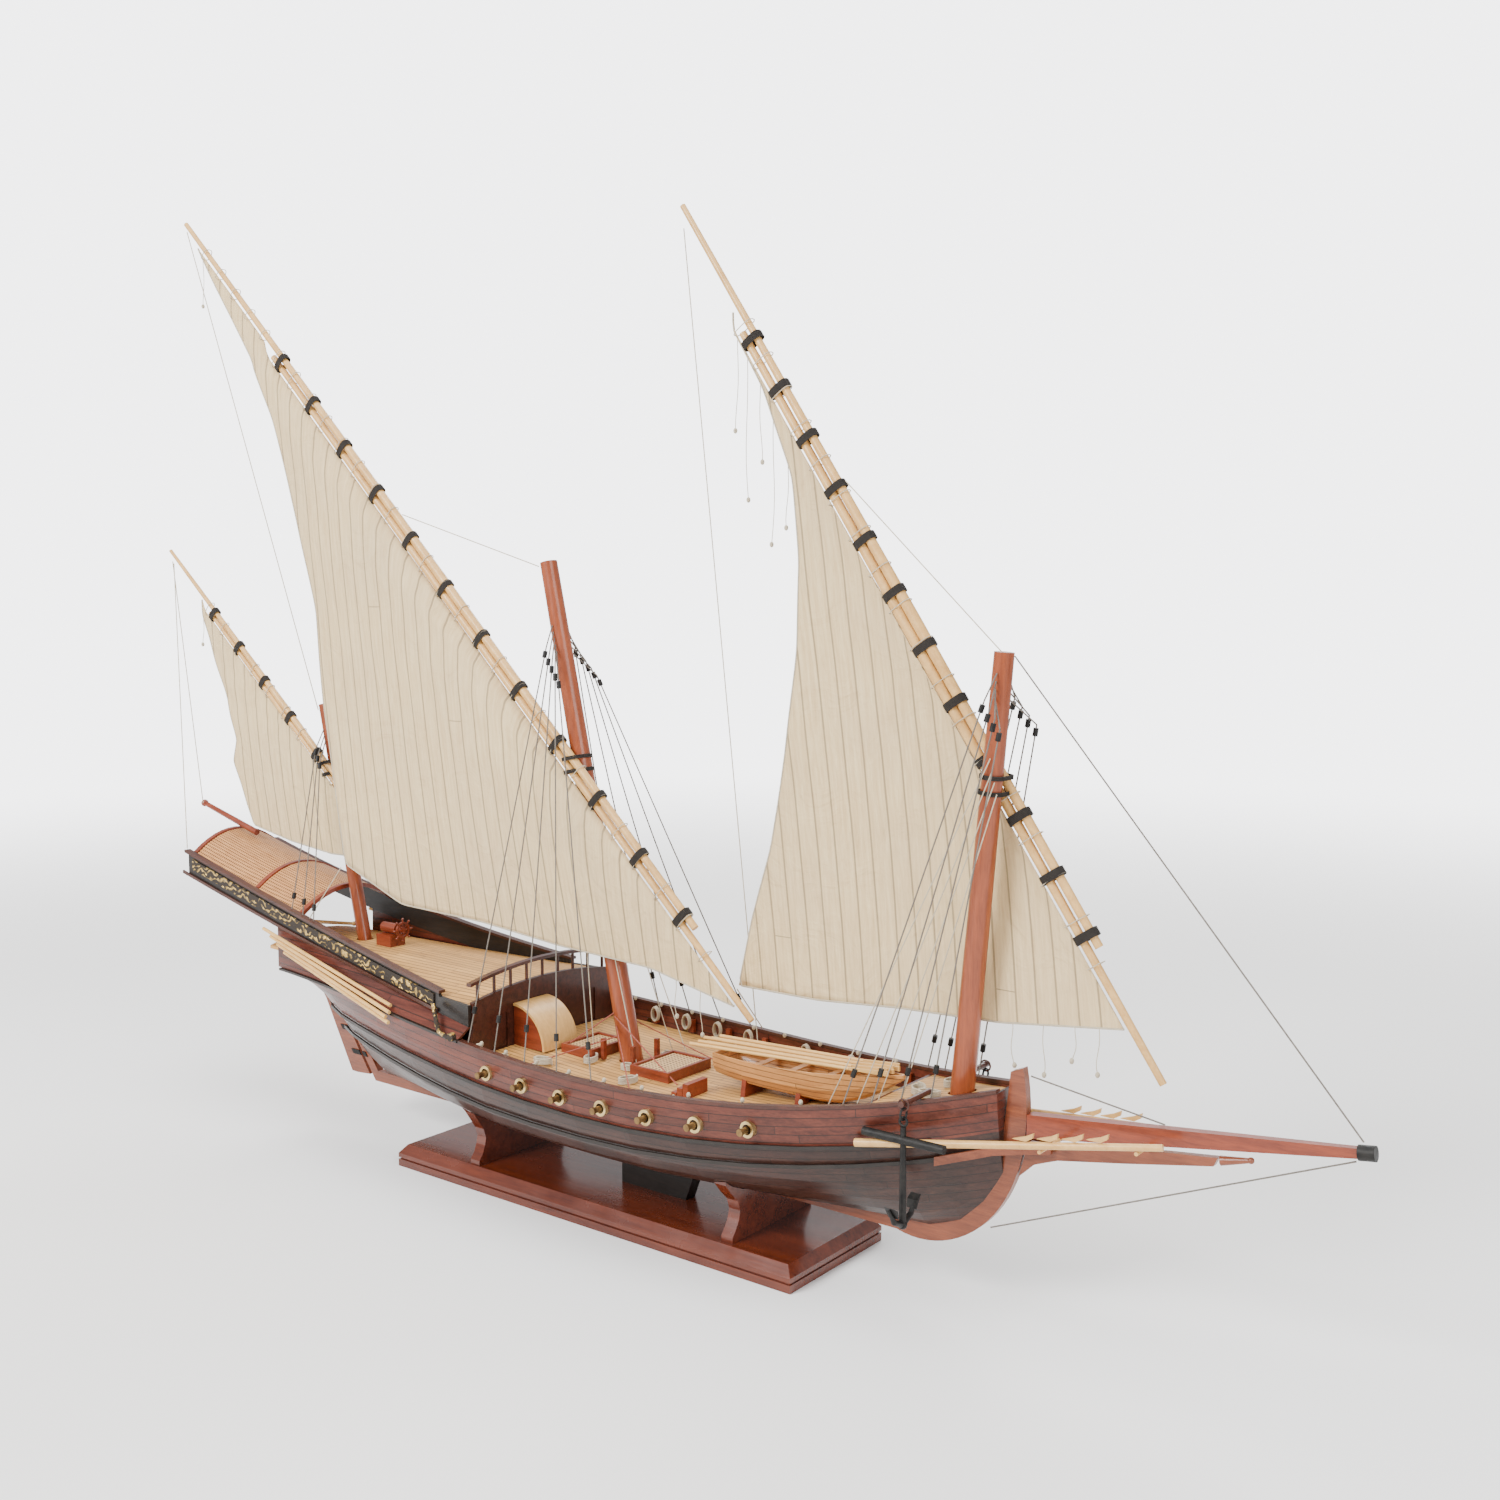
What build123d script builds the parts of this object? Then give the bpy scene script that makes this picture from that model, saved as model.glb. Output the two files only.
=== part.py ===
from build123d import *

import os
from math import cos, pi, sin

# Three-masted lateen xebec display model on its stand, in millimetres.
# +X is the bow, -Y is starboard, +Z is up. The origin is the middle of the base board's underside.

# ---------------------------------------------------------------- driving dimensions
UNIT = 320.0  # length of the base board, which is also the unit of the hull's lines
BASE_WIDTH = 91.0
BASE_THICK = 14.0
CRADLE_THICK = 8.0
GAP = 0.3  # clearance between pieces of different bodies

KEEL_BOTTOM = 32.6
KEEL_TOP = 39.0
KEEL_THICK = 5.0
PLANK = 2.6  # hull planking
BOARD = 2.4  # upper works
DECK_THICK = 2.2
RAKE = 0.7356  # the sternpost's run aft for each millimetre of height
GUDGEON_FOOT = (-248.0, 45.0)  # lowest point of the rudder's hinge line, as (x, z)
POST_OFF = 7.5  # planking end, forward of the hinge line
STERN_X = -286.0
STEM_X = 264.0

WAIST_DEPTH = 12.0  # waist deck below the gunwale
BULKHEAD_X = -70.0  # forward end of the quarterdeck
FORECASTLE_X = 197.0
QUARTERDECK_Z = 131.0
QUARTERDECK_CAMBER = 6.0
QUARTERDECK_END_X = -303.0
WING_END_X = -401.0  # after end of the quarter boards, past the hull
BOARD_START_X = -102.0
POOP_START_X = -265.5
POOP_CAMBER = 15.0
HELM_X = -206.0

YARD_GAP = 0.4  # between a yard and its mast
ROPE_R = 0.4  # standing rigging
LINE_R = 0.3  # running rigging
SAIL_THICK = 0.8
WOOLDING = 7.0  # length of one rope binding on a yard

# mast: point where it meets the deck, head, radius at the deck, radius at the head, height of its heel
MASTS = {
    "main": (Vector(5.0, 0, 99.0), Vector(-60.2, 0, 396.5), 7.2, 5.4, 49.0),
    "fore": (Vector(238.4, 0, 117.4), Vector(259.2, 0, 345.6), 6.8, 5.2, 56.0),
    "mizzen": (Vector(-247.0, 0, 132.2), Vector(-286.7, 0, 299.2), 5.2, 4.2, 72.0),
}
# yard: the side of its mast it hangs on, peak, heel, spar radius, share of its length where the
# two spars start and stop lying together, number of wooldings
YARDS = {
    "main": (-1, (-427.7, 651.5), (108.8, 135.7), 3.1, 0.20, 0.915, 12),
    "fore": (1, (39.6, 597.5), (346.6, 138.5), 3.1, 0.16, 0.870, 12),
    "mizzen": (-1, (-464.4, 410.6), (-196.0, 188.0), 2.3, 0.20, 0.900, 7),
}
# sail outlines in their own planes, (x, z): down the leech from the peak, then along the foot
SAILS = {
    "main": [(-417, 628), (-342, 540), (-320, 503), (-292, 430), (-272, 366), (-264, 298),
             (-253, 242), (-243, 190), (-185, 168), (-109, 165), (-40, 158), (32, 154), (94, 140)],
    "fore": [(78, 534), (100, 490), (119, 441), (124, 394), (122, 344), (115, 287),
             (105, 229), (92, 187), (83, 147), (140, 147), (193, 151), (254, 153), (322, 160)],
    "mizzen": [(-425, 372), (-406, 329), (-391, 299), (-382, 269), (-386, 253), (-373, 224),
               (-364, 206), (-319, 198), (-273, 193), (-212, 194)],
}
SAIL_TILT = {"main": 2.66, "fore": 0.0, "mizzen": 0.0}  # degrees that the foot hangs outboard of its yard
# where the shrouds come down to the gunwale or rail on each side
SHROUDS = {"main": (-60, -36, -10, 16, 42), "fore": (192, 206, 220, 234), "mizzen": (-272, -259, -246)}
# foot of the pendants that hold the shrouds clear of the yard, as (x, half-breadth, z)
PENDANT = {"main": (-50.5, 12.5, 344.0), "fore": (257.0, 16.0, 322.0), "mizzen": (-281.5, 12.4, 268.0)}
GUN_X = [-42.0 + 30.7 * i for i in range(7)]
GUN_DROP = 11.5  # gun ports below the gunwale
HEAD_RAIL = ((200.0, 43.5, 92.0), (354.0, 14.0, 114.0))  # port rail, after and forward ends
BEAK_ROOT = (277.5, 105.5)
BEAK_TIP = (444.0, 127.0)
ANCHOR = (228.5, 42.6, 116.4)  # underside of the port cathead, near its end

PIECES = {}


def keep(name, *shapes):
    """Store the solids of one named piece."""
    PIECES[name] = [solid for shape in shapes for solid in shape.solids()]


def clear_of(shape, *names):
    """The shape, cut back from pieces that are already stored."""
    for name in names:
        for solid in PIECES[name]:
            shape -= solid
    return shape


def mirrored(shape):
    return mirror(shape, about=Plane.XZ)


def both_sides(shapes):
    return list(shapes) + [mirrored(shape) for shape in shapes]


def spread(first, last, count):
    return [first + (last - first) * i / (count - 1) for i in range(count)]


def share(value):
    return max(0.0, min(1.0, value))


def between(a, b, t):
    return tuple(p + (q - p) * t for p, q in zip(a, b))


# ---------------------------------------------------------------- the hull's lines
def sheer_half(x):
    """Half-breadth at the gunwale."""
    u = x / UNIT
    return UNIT * (0.239 - 0.218 * u**2 - 0.104 * u**3)


def sheer_z(x):
    u = x / UNIT
    return UNIT * (0.316 - 0.038 * u + 0.076 * u**2 + 0.079 * u**3)


def rail_half(x):
    """Half-breadth at the top of the quarter boards."""
    u = x / UNIT
    return UNIT * (0.233 + 0.169 * u + 0.066 * u**2)


def rail_z(x):
    u = x / UNIT
    return UNIT * (0.368 - 0.083 * u + 0.067 * u**2)


def board_foot_z(x):
    """Lower edge of the quarter board, which is deeper towards the stern."""
    return rail_z(x) - 13.0 - 4.0 * (BOARD_START_X - x) / (BOARD_START_X - WING_END_X)


def post_x(z, off=0.0):
    """A line that lies a fixed distance forward of the rudder's hinge line."""
    return GUDGEON_FOOT[0] - RAKE * (z - GUDGEON_FOOT[1]) + off


def rabbet_z(x):
    """Where the planking ends below: on the keel, up the forefoot and up the sternpost."""
    forefoot = KEEL_TOP + 44.0 * share((x - 212.0) / (STEM_X + 6 - 212.0)) ** 2.6
    sternpost = GUDGEON_FOOT[1] - (x - GUDGEON_FOOT[0] - POST_OFF) / RAKE
    return max(KEEL_TOP, forefoot, sternpost)


def section(x, inset=0.0, steps=9):
    """One side of the planking at a station, as (y, z) from the keel up to the gunwale."""
    aft = share((-60 - x) / 200)
    fore = share((x - 80) / 180)
    rise = 2.5 - 1.9 * aft - 1.2 * fore
    flare = 2.6 - 1.6 * aft - 1.3 * fore
    top, half = sheer_z(x), sheer_half(x) - inset
    depth = top - rabbet_z(x) - inset
    points = []
    for step in range(steps + 1):
        level = cos(step / steps * pi / 2)
        points.append((half * (1 - level**rise) ** (1 / flare), top - depth * level))
    return points


def side_half(x, z, inset=0.0):
    """Half-breadth of the planking at a height, on the section's straight facets."""
    points = section(x, inset)
    for (y0, z0), (y1, z1) in zip(points, points[1:]):
        if z0 <= z <= z1:
            return y0 + (y1 - y0) * (z - z0) / (z1 - z0)
    return points[-1][0]


def stations(first, last, count):
    """Stations that crowd towards both ends, where the lines turn fastest."""
    return [(first + last) / 2 - (last - first) / 2 * cos(pi * i / (count - 1)) for i in range(count)]


HULL_X = stations(STERN_X, STEM_X, 23)


def hull_run(first, last):
    """The hull's own stations between two ends, and both ends."""
    return [first] + [x for x in HULL_X if first < x < last] + [last]


def hull_body(inset=0.0, lift=0.0, first=STERN_X, last=STEM_X):
    """Solid bounded by the planking; lift carries its sides above the gunwale."""
    faces = []
    for x in stations(first, last, 23):
        side = section(x, inset)
        if lift:
            side.append((side[-1][0], side[-1][1] + lift))
        port = [(x, y, z) for y, z in side[::-1]]
        starboard = [(x, -y, z) for y, z in side[1:]]
        faces.append(make_face(Polyline(*port, *starboard, close=True)))
    return loft(faces, ruled=True)


# ---------------------------------------------------------------- simple shapes
def xz_plate(points, thick, y=0.0):
    """A plate that stands fore and aft; its points are (x, z)."""
    face = make_face(Polyline(*[(x, y - thick / 2, z) for x, z in points], close=True))
    return extrude(face, amount=thick, dir=(0, 1, 0))


def yz_plate(points, thick, x=0.0):
    """A plate that stands athwart; its points are (y, z)."""
    face = make_face(Polyline(*[(x - thick / 2, y, z) for y, z in points], close=True))
    return extrude(face, amount=thick, dir=(1, 0, 0))


def rod(start, end, radius, end_radius=None):
    """A round or tapered rod between two points."""
    a, b = Vector(*start), Vector(*end)
    length = (b - a).length
    low = (Align.CENTER, Align.CENTER, Align.MIN)
    if end_radius is None or end_radius == radius:
        body = Cylinder(radius, length, align=low)
    else:
        body = Cone(radius, end_radius, length, align=low)
    return Plane(origin=a, z_dir=(b - a).normalized()) * body


def box_at(centre, size):
    return Pos(*centre) * Box(*size)


def batten(rows, width, height):
    """A batten along (x, y, z) rows, each the upper outer corner of its section."""
    faces = []
    for x, y, z in rows:
        corners = ((x, y, z), (x, y - width, z), (x, y - width, z - height), (x, y, z - height))
        faces.append(make_face(Polyline(*corners, close=True)))
    return loft(faces, ruled=True)


def cambered(x, half, crown, camber, thick):
    """Section face of a deck: an arch of straight pieces, as thick everywhere."""
    ys = spread(-half, half, 9)
    top = [(x, y, crown - camber * (y / half) ** 2) for y in ys]
    under = [(px, py, pz - thick) for px, py, pz in top]
    return make_face(Polyline(*top, *under[::-1], close=True))


def mast_point(name, z):
    """Point of the mast's centre line at a height."""
    deck, head = MASTS[name][:2]
    return deck + (head - deck) * ((z - deck.Z) / (head.Z - deck.Z))


def mast_hole(name):
    """Round room for a mast where it passes a deck."""
    deck, head, radius, _, _ = MASTS[name]
    axis = (head - deck).normalized()
    return rod(deck - axis * 60, deck + axis * 30, radius + 0.7)


# ---------------------------------------------------------------- the stand
def make_stand():
    low = (Align.CENTER, Align.CENTER, Align.MIN)
    board = Box(UNIT, BASE_WIDTH, BASE_THICK, align=low)
    board = chamfer(board.faces().sort_by(Axis.Z)[-1].edges(), length=5.5, length2=4.5)
    groove = Box(UNIT + 2, BASE_WIDTH + 2, 1.2) - Box(UNIT - 2.4, BASE_WIDTH - 2.4, 1.2)
    board -= Pos(0, 0, 5.2) * groove
    hull_room = hull_body(inset=-GAP, lift=30.0)
    cradles, screws = [], []
    for x, foot, waist, top, top_z in ((-92.0, 40.0, 35.0, 50.0, 62.0), (111.0, 38.0, 32.0, 45.0, 56.0)):
        side = [(foot, BASE_THICK), (foot, 17), (foot - 3, 21), (waist, 26), (waist - 1, 31),
                (waist + 1, 37), (top - 6, top_z - 13), (top - 1, top_z - 7), (top, top_z)]
        cradle = yz_plate(side + [(-y, z) for y, z in side[::-1]], CRADLE_THICK, x) - hull_room
        keel_room = Box(60, KEEL_THICK + 2 * GAP, 30, align=low)
        cradle -= Pos(x, 0, KEEL_BOTTOM - GAP) * keel_room
        for y in (-22.0, 22.0):
            shank = Pos(x, y, 0) * Cylinder(1.9, 26, align=low)
            board -= shank + Pos(x, y, 0) * Cylinder(3.9, 4, align=low)
            cradle -= shank
            head = Pos(x, y, 1.2) * Cylinder(3.5, 2.6, align=low)
            screws.append(head + Pos(x, y, 3.6) * Cylinder(1.7, 20, align=low))
        cradles.append(cradle)
    keep("base_board", board)
    keep("stand_cradles", *cradles)
    keep("cradle_screws", *screws)
    top_z = KEEL_BOTTOM - GAP
    keep("keel_block", xz_plate([(2, BASE_THICK), (53, BASE_THICK), (60, top_z), (2, top_z)], 9.0))


# ---------------------------------------------------------------- hull structure
def gun_spot(x):
    """Height of a gun port and the planking's half-breadth there."""
    z = sheer_z(x) - GUN_DROP
    return side_half(x, z), z


def make_hull():
    low = (Align.CENTER, Align.CENTER, Align.MIN)
    inside = hull_body(inset=PLANK, lift=30.0, first=STERN_X + 3, last=STEM_X - 2)
    shell = hull_body() - inside
    shell -= Pos(0, 0, KEEL_TOP - 9) * Box(440, KEEL_THICK, 10, align=low)
    keel = [(post_x(KEEL_BOTTOM, 3.2), KEEL_BOTTOM), (200, KEEL_BOTTOM), (200, KEEL_TOP + 1),
            (post_x(KEEL_TOP + 1, POST_OFF + 4), KEEL_TOP + 1), (post_x(104, POST_OFF + 1), 104),
            (post_x(130, POST_OFF), 130), (post_x(130, 3.2), 130)]
    keel = xz_plate(keel, KEEL_THICK)
    outer = Spline((200, 0, KEEL_BOTTOM), (235, 0, 35.5), (256, 0, 51), (270, 0, 74),
                   (276.5, 0, 103), (274.5, 0, 135))
    head = Polyline((274.5, 0, 135), (267.5, 0, 132), (266.0, 0, 118), (262.0, 0, 84))
    inner = Spline((262, 0, 84), (250, 0, 59), (228, 0, 45), (200, 0, KEEL_TOP + 1))
    toe = Line((200, 0, KEEL_TOP + 1), (200, 0, KEEL_BOTTOM))
    stem = extrude(make_face([outer, head, inner, toe]), amount=KEEL_THICK / 2, dir=(0, 1, 0), both=True)
    shell = shell - keel - stem
    ports = []
    for x in GUN_X:
        side, z = gun_spot(x)
        ports.append(rod((x, side - 8, z), (x, side + 4, z), 2.3))
    for port in both_sides(ports):
        shell -= port
    keep("hull_planking", shell)
    keep("keel_and_stem", keel, stem)

    wales = []
    for first, last, drop, rise in ((-264, 234, 20.2, 0.0), (-240, 256, 34.9, 0.0207)):
        rows = []
        for x in hull_run(first, last):
            z = sheer_z(x) - drop + rise * max(x, -60)
            rows.append((x, side_half(x, z) + 1.9, z))
        wales.append(batten(rows, 1.5, 2.0))
    rows = [(x, sheer_half(x) + 1.1, sheer_z(x) + 1.7) for x in hull_run(STERN_X + 1, BULKHEAD_X + 1)]
    wales.append(batten(rows, 3.0, 1.5))
    wales = [clear_of(wale, "hull_planking") for wale in wales]
    keep("wales", *both_sides([solid for wale in wales for solid in wale.solids() if solid.volume > 20]))

    rows = [(x, sheer_half(x) + 0.9, sheer_z(x) + 2.0) for x in hull_run(BULKHEAD_X + 2, STEM_X)]
    keep("gunwale_caps", *both_sides([batten(rows, 4.2, 1.8)]))


def quarter_half(x, z):
    """Half-breadth of the leaning quarter side at a height above the gunwale."""
    foot, foot_z = sheer_half(x) - 1.0, sheer_z(x) + 1.9
    level = (z - foot_z) / (board_foot_z(x) - foot_z)
    return foot + (rail_half(x) - foot) * share(level)


def make_upper_works():
    """Quarter sides, quarter boards with their mouldings, and the stern panel."""
    faces = []
    for x in spread(STERN_X - 3, BULKHEAD_X, 11):
        foot, foot_z = sheer_half(x) - 1.0, sheer_z(x) + 1.9
        top, top_z = rail_half(x), board_foot_z(x)
        corners = ((x, foot, foot_z), (x, top, top_z), (x, top - 2.2, top_z), (x, foot - 3.0, foot_z))
        faces.append(make_face(Polyline(*corners, close=True)))
    side = loft(faces, ruled=True)
    x = STERN_X - 1.5
    half, foot = rail_half(x) - 2.6, sheer_z(x) + 2.2
    crown = quarterdeck_crown(x) - DECK_THICK - 0.2
    arch = [(y, crown - QUARTERDECK_CAMBER * (y / half) ** 2) for y in spread(-half, half, 9)]
    panel = yz_plate([(-half + 0.6, foot), *arch, (half - 0.6, foot)], 2.4, x)
    panel = clear_of(panel, "keel_and_stem") - both_sides([side])[0] - mirrored(side)
    keep("quarter_sides", *both_sides([side]), panel)

    rows = [(x, rail_half(x), rail_z(x), board_foot_z(x)) for x in spread(WING_END_X, BOARD_START_X, 14)]
    rows += [(x, rail_half(x), quarterdeck_crown(x) - QUARTERDECK_CAMBER + 0.4, board_foot_z(x))
             for x in (BOARD_START_X + 1, BULKHEAD_X)]
    faces = []
    for x, y, top_z, foot_z in rows:
        corners = ((x, y, foot_z + 0.05), (x, y, top_z), (x, y - BOARD, top_z), (x, y - BOARD, foot_z + 0.05))
        faces.append(make_face(Polyline(*corners, close=True)))
    keep("quarter_boards", *both_sides([loft(faces, ruled=True)]))
    rows = [(x, rail_half(x) + 1.6, rail_z(x) + 2.0) for x in spread(WING_END_X - 3, BOARD_START_X + 3, 14)]
    rails = [batten(rows, 5.2, 1.8)]
    rows = [(x, rail_half(x) + 1.4, board_foot_z(x) + 2.6)
            for x in spread(WING_END_X - 6, BOARD_START_X, 14)]
    rails.append(batten(rows, 1.2, 2.2))
    keep("quarter_rails", *both_sides(rails))

    rows = [(x, rail_half(x) + 1.0, rail_z(x) - 2.0) for x in spread(WING_END_X + 6, BOARD_START_X - 4, 14)]
    frieze = batten(rows, 0.8, 7.8)
    curve = [(-102, 63.4, 121), (-97, 66.8, 117), (-90, 71.5, 112.6), (-82, 76.6, 110), (-72, 78.6, 108.6)]
    scroll = Pos(-68.5, 78.8, 109.8) * Rot(90, 0, 0) * Cylinder(2.6, 3.0)
    for a, b in zip(curve, curve[1:]):
        scroll += rod(a, b, 1.4)
        scroll += Pos(*b) * Sphere(1.4)
    keep("quarter_carvings", *both_sides([frieze, scroll]))


def quarterdeck_crown(x):
    return QUARTERDECK_Z + 3.0 * (BULKHEAD_X - x) / (BULKHEAD_X - QUARTERDECK_END_X)


def deck_top(x):
    """Height of the waist deck on the centreline."""
    return sheer_z(x) - WAIST_DEPTH + 1.3


def make_decks():
    faces = []
    for x in stations(BULKHEAD_X + 2.2, FORECASTLE_X - 1.2, 13):
        half = side_half(x, deck_top(x) - 4.8, PLANK) - 0.6
        faces.append(cambered(x, half, deck_top(x), 1.2, DECK_THICK))
    keep("waist_deck", loft(faces, ruled=True) - mast_hole("main"))

    faces = []
    for x in stations(FORECASTLE_X + 1.3, STEM_X - 4.0, 9):
        half = side_half(x, sheer_z(x) - 3.0, PLANK) - 0.5
        faces.append(cambered(x, half, sheer_z(x) - 0.6, 0.8, DECK_THICK))
    keep("forecastle_deck", loft(faces, ruled=True) - mast_hole("fore"))

    faces = []
    for x in spread(QUARTERDECK_END_X, BULKHEAD_X - 1.6, 11):
        half = rail_half(x) - BOARD - 0.3
        faces.append(cambered(x, half, quarterdeck_crown(x), QUARTERDECK_CAMBER, DECK_THICK))
    notch = box_at((QUARTERDECK_END_X, 0, 130), (14, 11, 30))
    keep("quarterdeck", loft(faces, ruled=True) - mast_hole("mizzen") - notch)

    z = sheer_z(FORECASTLE_X)
    half = side_half(FORECASTLE_X, z - WAIST_DEPTH, PLANK) - 1.2
    fore = yz_plate([(-half, z - WAIST_DEPTH - 1.5), (half, z - WAIST_DEPTH - 1.5), (half + 1, z - 1.0),
                     (-half - 1, z - 1.0)], 2.0, FORECASTLE_X)
    foot = sheer_z(BULKHEAD_X) - WAIST_DEPTH - 3.0
    side_foot = side_half(BULKHEAD_X, foot, PLANK) - 0.8
    arch = [(y, QUARTERDECK_Z + 1.8 - QUARTERDECK_CAMBER * (y / 61) ** 2) for y in spread(-60.8, 60.8, 13)]
    main = yz_plate(arch + [(60.8, 111.0), (side_foot, foot), (-side_foot, foot), (-60.8, 111.0)], 3.0, BULKHEAD_X)
    doors = []
    for y in (-40.0, 40.0):
        main -= box_at((BULKHEAD_X, y, foot + 15), (10, 15, 22))
        doors.append(box_at((BULKHEAD_X - 0.4, y, foot + 15), (1.8, 14.6, 21.6)))
    keep("bulkheads", fore, main, *doors)

    posts, faces = [], []
    for y in spread(-56.0, 56.0, 9):
        z = QUARTERDECK_Z + 1.95 - QUARTERDECK_CAMBER * (y / 61) ** 2
        posts.append(rod((BULKHEAD_X, y, z + 0.1), (BULKHEAD_X, y, z + 10.2), 1.0))
    for y in spread(-63.0, 63.0, 13):
        z = QUARTERDECK_Z + 12.5 - QUARTERDECK_CAMBER * (y / 61) ** 2
        corners = ((BULKHEAD_X - 2, y, z), (BULKHEAD_X + 2, y, z), (BULKHEAD_X + 2, y, z + 2),
                   (BULKHEAD_X - 2, y, z + 2))
        faces.append(make_face(Polyline(*corners, close=True)))
    keep("balustrade", loft(faces, ruled=True), *posts)


def make_poop():
    """The cambered grating over the stern, its frames and the boomkin."""
    frames = []
    for x in (POOP_START_X, -320.0, WING_END_X + 3.0):
        half = rail_half(x) - 4.0
        top = [(y, rail_z(x) + 2.0 + POOP_CAMBER * (1 - (y / half) ** 2)) for y in spread(-half, half, 13)]
        frames.append(yz_plate(top + [(y, z - 3.0) for y, z in top[::-1]], 4.4, x))
    root = Vector(-372.0, 0, rail_z(-372) + POOP_CAMBER + 6.0)
    tip = Vector(-439.0, 0, 216.0)
    frames.append(rod(root, tip, 2.3, 1.8) + Pos(*tip) * Sphere(2.8))
    keep("poop_frame", *frames)
    panels = []
    for first, last in ((WING_END_X + 5.4, -322.4), (-317.6, POOP_START_X - 2.4)):
        faces = []
        for x in spread(first, last, 7):
            faces.append(cambered(x, rail_half(x) - 4.0, rail_z(x) + 1.4 + POOP_CAMBER, POOP_CAMBER, 1.6))
        panels.append(loft(faces, ruled=True))
    keep("poop_gratings", *panels)


# ---------------------------------------------------------------- head of the ship
def make_head():
    (root_x, root_z), (tip_x, tip_z) = BEAK_ROOT, BEAK_TIP
    near = [(root_x, -3.5, root_z - 6), (root_x, 3.5, root_z - 6), (root_x, 3.5, root_z + 6.2),
            (root_x, -3.5, root_z + 6.2)]
    far = [(tip_x, -2.2, tip_z - 2.2), (tip_x, 2.2, tip_z - 2.2), (tip_x, 2.2, tip_z + 2.2),
           (tip_x, -2.2, tip_z + 2.2)]
    spar = loft([make_face(Polyline(*near, close=True)), make_face(Polyline(*far, close=True))], ruled=True)
    keep("beak_spar", spar)
    keep("beak_collar", clear_of(rod((tip_x - 5, 0, tip_z - 0.65), (tip_x + 2.5, 0, tip_z + 0.3), 3.6), "beak_spar"))

    under = [(272.5, 78), (281, 86), (294, 91.0), (330, 97.5), (374, 106), (376, 110.5), (350, 107.5),
             (300, 98.5), (277.8, 97.0)]
    knee = clear_of(xz_plate(under, 4.0), "keel_and_stem", "beak_spar")
    cheek = []
    for x, z in ((236.0, 86.5), (246.0, 89.3), (256.0, 92.0), (262.0, 93.8)):
        cheek.append((x, side_half(x, z) + 4.3, z))
    cheek += [(276.0, 8.6, 96.6), (292.0, 5.4, 99.2)]
    cheek = clear_of(batten(cheek, 2.0, 4.6), "wales", "hull_planking")
    finial = rod((376.8, 0, 108.9), (391.0, 0, 112.0), 2.4, 1.2) + Pos(391.0, 0, 112.0) * Sphere(1.6)
    keep("beak_knee", knee, *both_sides([cheek]), finial)

    aft, fwd = HEAD_RAIL
    rails = [rod(aft, fwd, 2.2, 1.7)]
    for i in range(4):
        x, y, z = between(aft, fwd, 0.57 + 0.078 * i)
        foot = [(x - 6, z + 2.4), (x + 1.5, z + 2.4), (x + 5, z + 4.6), (x + 5.4, z + 7.2), (x + 1, z + 4.8)]
        rails.append(xz_plate(foot, 1.6, y))
    rails = both_sides(rails)
    for t in (0.62, 0.92):
        x, y, z = between(aft, fwd, t)
        rails.append(clear_of(rod((x, -y, z - 3.3), (x, y, z - 3.3), 1.0), "beak_spar", "beak_knee"))
    keep("head_rails", *rails)


# ---------------------------------------------------------------- rudder and helm
def make_rudder():
    blade = [(post_x(36, -0.9), 36), (post_x(96, -0.9), 96), (post_x(92, -14.0), 92), (-290, 84),
             (-262, 35.2), (-256, 35.0)]
    stock = rod((post_x(92, -4.0), 0, 92), (post_x(138.5, -1.4), 0, 138.5), 2.1)
    keep("rudder", xz_plate(blade, 4.2) + stock)
    post_straps, rudder_straps = [], []
    for z in (50.0, 66.0, 82.0):
        low, high = z - 1.6, z + 1.6
        strap = [(post_x(low, 6.9), low), (post_x(low, 3.4), low), (post_x(high, 3.4), high), (post_x(high, 6.9), high)]
        hinge = [(post_x(low, -0.6), low), (post_x(low, -9), low), (post_x(high, -9), high), (post_x(high, -0.6), high)]
        for side in (-1, 1):
            post_straps.append(xz_plate(strap, 0.7, side * (KEEL_THICK / 2 + 0.4)))
            rudder_straps.append(xz_plate(hinge, 0.7, side * 2.5))
    keep("sternpost_straps", *post_straps)
    keep("rudder_straps", *rudder_straps)
    head = (post_x(137.0, -0.6), 0, 137.4)
    tiller = rod(head, (-259.0, 0, 142.6), 1.5, 1.1) + Pos(-259.0, 0, 142.6) * Sphere(1.7)
    keep("tiller", clear_of(tiller, "rudder"))


def make_helm():
    base = quarterdeck_crown(HELM_X)
    axis_z = base + 12.0
    stand = clear_of(box_at((HELM_X - 13, 0, base + 3.8), (15, 13, 8.4)), "quarterdeck")
    drum = rod((HELM_X - 20, 0, axis_z), (HELM_X - 5.0, 0, axis_z), 3.6)
    drum -= rod((HELM_X - 20, 0, axis_z), (HELM_X, 0, axis_z), 1.3)
    keep("helm_stand", stand, drum)
    centre = Vector(HELM_X, 0, axis_z)
    wheel = Pos(*centre) * Rot(0, 90, 0) * (Cylinder(5.6, 1.6) - Cylinder(4.3, 2.0))
    wheel += rod(centre - Vector(8.0, 0, 0), centre + Vector(1.6, 0, 0), 1.25)
    wheel += Pos(*centre) * Rot(0, 90, 0) * Cylinder(1.9, 2.4)
    for i in range(8):
        way = Vector(0, cos(pi * i / 4), sin(pi * i / 4))
        wheel += rod(centre + way * 1.2, centre + way * 8.2, 0.55)
        wheel += Pos(*(centre + way * 7.6)) * Sphere(0.85)
    keep("helm_wheel", wheel)


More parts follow.
